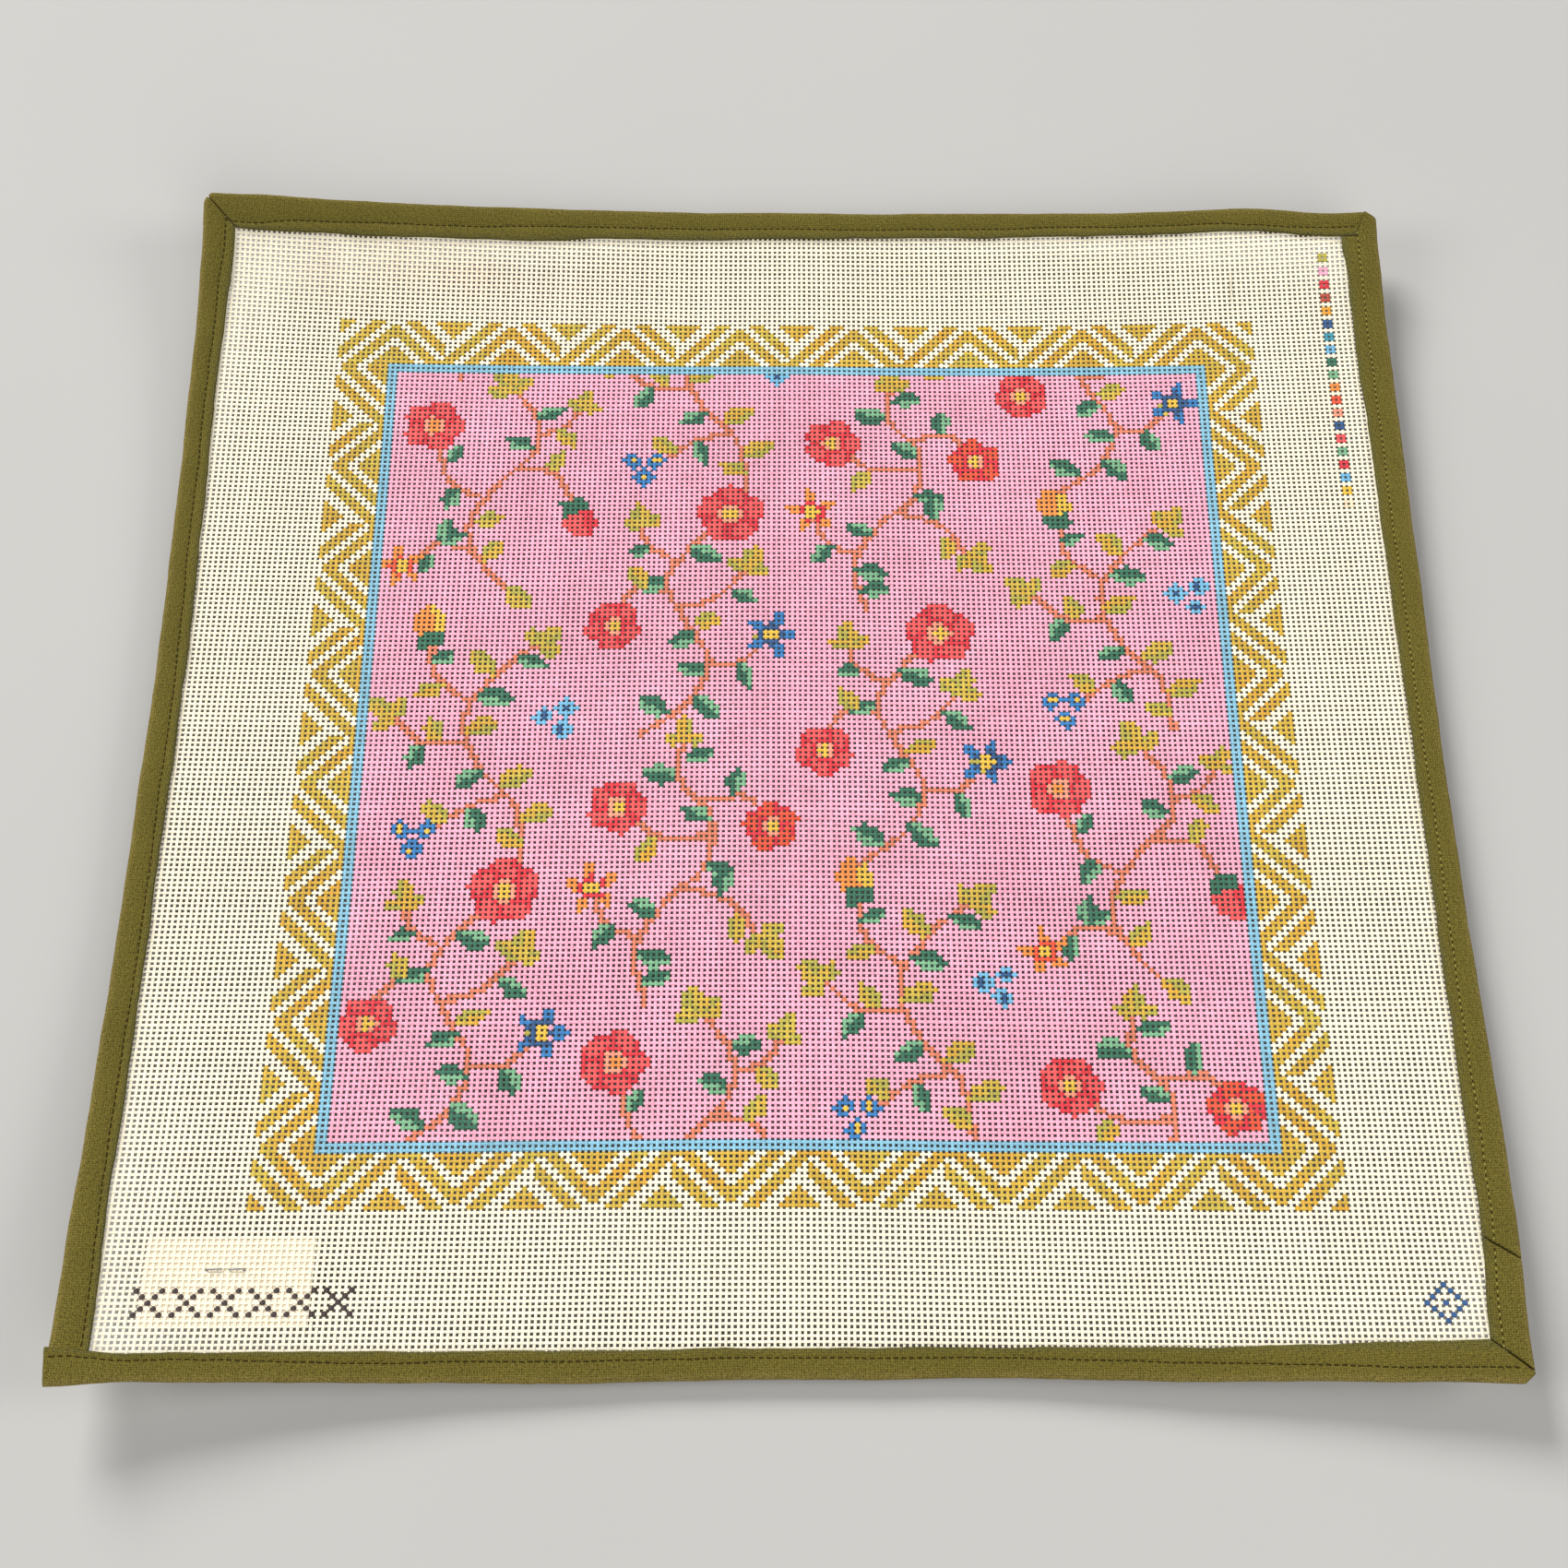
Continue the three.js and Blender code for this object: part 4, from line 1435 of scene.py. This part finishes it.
def label_piece(material):
    """The patch, pressed a little way up into each hole: a square of cosines over it."""
    half = PITCH / 2
    columns = half * np.arange(math.ceil(LABEL["left"] / half), LABEL["right"] / half)
    rows = half * np.arange(math.ceil(LABEL["near"] / half), LABEL["far"] / half)

    def top(u, v):
        pressed = np.cos(math.pi * u / PITCH) ** 2 * np.cos(math.pi * v / PITCH) ** 2
        slack = LABEL_PRESS["slack"] * uneven(u + 0.4 * v, SEED + 60, 30) ** 2
        return LABEL_PRESS["low"] + LABEL_PRESS["rise"] * pressed - slack

    points, faces = grid_sheet(columns, rows, top, LABEL["thick"])
    piece = new_piece("label_patch", points, faces, material, "label")
    sides = len(faces) - 2 * (len(columns) + len(rows) - 2)
    keep_flat(piece, np.arange(len(faces)) >= sides)
    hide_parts("label")
    return piece


def staple_piece(material):
    """A wire: its crown under the patch, its legs up through the canvas and folded in. Its
    path is worked out from one leg's tip to the crown, and mirrored to the other leg."""
    left, right = STAPLE["left"], STAPLE["right"]
    crown, legs = STAPLE["crown"], STAPLE["legs"]
    middle = (left + right) / 2
    half = [
        (middle - 0.9, legs - 0.1),
        (middle - 2.4, legs + 0.05),
        (left + 0.9, legs + 0.12),
        (left + 0.3, legs),
        (left, legs - 0.5),
        (left, crown + 0.5),
        (left + 0.25, crown + 0.1),
        (left + 0.8, crown),
    ]
    path = np.array(half + [(2 * middle - across, height) for across, height in half[::-1]])
    way = np.gradient(path, axis=0)
    way = way / np.hypot(way[:, 0], way[:, 1])[:, None]
    sides = STAPLE_WIRE["sides"]
    angle = -2 * math.pi * np.arange(sides) / sides
    across = STAPLE_WIRE["radius"] * np.sin(angle)[None]
    out = STAPLE_WIRE["radius"] * np.cos(angle)[None]
    u = path[:, :1] - way[:, 1:] * out
    height = path[:, 1:] + way[:, :1] * out
    v = STAPLE["along"] + across + np.zeros_like(u)
    points = lay(u, v, height)
    tips = []
    for ring in (0, len(path) - 1):
        tips.append(points[ring].mean(0, keepdims=True).repeat(sides, 0))
    points = np.concatenate([tips[0][None], points, tips[1][None]])
    faces = tube_faces(len(points), sides)
    piece = new_piece("staple_wire", points.reshape(-1, 3), faces, material, "staple")
    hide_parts("staple")
    return piece


# The stage


def set_camera(looks):
    """The camera looks from its place at its aim, and rolls a little about that line."""
    place = Vector(CAMERA["place"])
    back = (place - Vector(CAMERA["aim"])).normalized()
    right = Vector((0, 1, 0)).cross(back).normalized()
    right.rotate(Matrix.Rotation(math.radians(CAMERA["roll"]), 3, back))
    up = back.cross(right)
    data = bpy.data.cameras.new("camera")
    data.lens = looks.lens
    camera = bpy.data.objects.new("camera", data)
    bpy.context.scene.collection.objects.link(camera)
    turn = Matrix((right, up, back)).transposed().to_4x4()
    camera.matrix_world = Matrix.Translation(place) @ turn
    bpy.context.scene.camera = camera


def soft_light(name, place, power):
    """A wide round light that shines at the panel."""
    data = bpy.data.lights.new(name, "AREA")
    data.shape = "DISK"
    data.size = LIGHT_WIDE
    data.energy = power
    light = bpy.data.objects.new(name, data)
    light.location = place
    light.rotation_euler = Vector(place).to_track_quat("Z", "Y").to_euler()
    bpy.context.scene.collection.objects.link(light)


def set_stage(looks):
    """A plain floor, an even room and the ring of lights."""
    count = FLOOR["points"]
    spot = np.linspace(-FLOOR["reach"], FLOOR["reach"], count)
    x, y = np.meshgrid(spot, spot, indexing="ij")
    points = np.stack([x, y, 0 * x], -1).reshape(-1, 3)
    number = np.arange(count * count).reshape(count, count)
    faces = np.stack([number[:-1, :-1], number[1:, :-1], number[1:, 1:], number[:-1, 1:]], -1)
    floor = new_piece("floor", points, faces.reshape(-1, 4), floor_material(looks))
    world = bpy.data.worlds.new("soft room")
    world.use_nodes = True
    air = world.node_tree.nodes["Background"]
    air.inputs["Color"].default_value = ROOM["colour"]
    air.inputs["Strength"].default_value = ROOM["strength"]
    bpy.context.scene.world = world
    for light in LIGHTS:
        soft_light(*light)
    bpy.context.scene.view_settings.view_transform = "Standard"


# Operators and panel


class BuildCanvas(bpy.types.Operator):
    """Weave and paint the canvas"""

    bl_idname = "needlepoint.build_canvas"
    bl_label = "Painted canvas"

    def execute(self, context):
        scene = context.scene
        weave = Weave(scene.canvas_sizes, scene.canvas_paints)
        material = painted_thread_material()
        rows = len(weave.j) - 2
        cuts = np.linspace(1, rows + 1, STRIPS + 1).astype(int)
        for number, (first, last) in enumerate(zip(cuts, cuts[1:]), 1):
            weave_strip(weave, number, first, last, material)
        return {"FINISHED"}


class BuildBinding(bpy.types.Operator):
    """Fold the tape over the four edges"""

    bl_idname = "needlepoint.build_binding"
    bl_label = "Binding tape"

    def execute(self, context):
        looks = context.scene.binding_looks
        material = tape_material(looks)
        for name in TAPES:
            tape_piece(name, looks, material)
        return {"FINISHED"}


class BuildSewing(bpy.types.Operator):
    """Sew the tape on, stitch by stitch"""

    bl_idname = "needlepoint.build_sewing"
    bl_label = "Sewing"

    def execute(self, context):
        looks = context.scene.binding_looks
        material = sewing_material(looks)
        for name in TAPES:
            stitch_piece(name, looks, material)
        return {"FINISHED"}


class BuildLabel(bpy.types.Operator):
    """Lay the plain patch behind the canvas"""

    bl_idname = "needlepoint.build_label"
    bl_label = "Patch"

    def execute(self, context):
        looks = context.scene.trim_looks
        label_piece(patch_material(looks))
        return {"FINISHED"}


class BuildStaple(bpy.types.Operator):
    """Bend the staple that holds the patch"""

    bl_idname = "needlepoint.build_staple"
    bl_label = "Staple"

    def execute(self, context):
        looks = context.scene.trim_looks
        staple_piece(wire_material(looks))
        return {"FINISHED"}


class SetStage(bpy.types.Operator):
    """Place the floor, the lights and the camera"""

    bl_idname = "needlepoint.set_stage"
    bl_label = "Stage"

    def execute(self, context):
        looks = context.scene.stage_looks
        set_stage(looks)
        set_camera(looks)
        return {"FINISHED"}


STEPS = (BuildCanvas, BuildBinding, BuildSewing, BuildLabel, BuildStaple, SetStage)


class CanvasPanel(bpy.types.Panel):
    """Lists the pieces and their settings"""

    bl_idname = "VIEW3D_PT_needlepoint"
    bl_label = "Needlepoint canvas"
    bl_space_type = "VIEW_3D"
    bl_region_type = "UI"
    bl_category = "Canvas"

    def draw(self, context):
        for step in STEPS:
            self.layout.operator(step.bl_idname)
        for name, group in SETTINGS.items():
            box = self.layout.box()
            for setting in group.__annotations__:
                box.prop(getattr(context.scene, name), setting)


CLASSES = (*SETTINGS.values(), *STEPS, CanvasPanel)


def register():
    for made in CLASSES:
        bpy.utils.register_class(made)
    for name, group in SETTINGS.items():
        setattr(bpy.types.Scene, name, bpy.props.PointerProperty(type=group))


def unregister():
    for name in SETTINGS:
        delattr(bpy.types.Scene, name)
    for made in reversed(CLASSES):
        bpy.utils.unregister_class(made)


def main():
    register()
    bpy.ops.needlepoint.build_canvas()
    bpy.ops.needlepoint.build_binding()
    bpy.ops.needlepoint.build_sewing()
    bpy.ops.needlepoint.build_label()
    bpy.ops.needlepoint.build_staple()
    bpy.ops.needlepoint.set_stage()


if __name__ == "__main__":
    main()
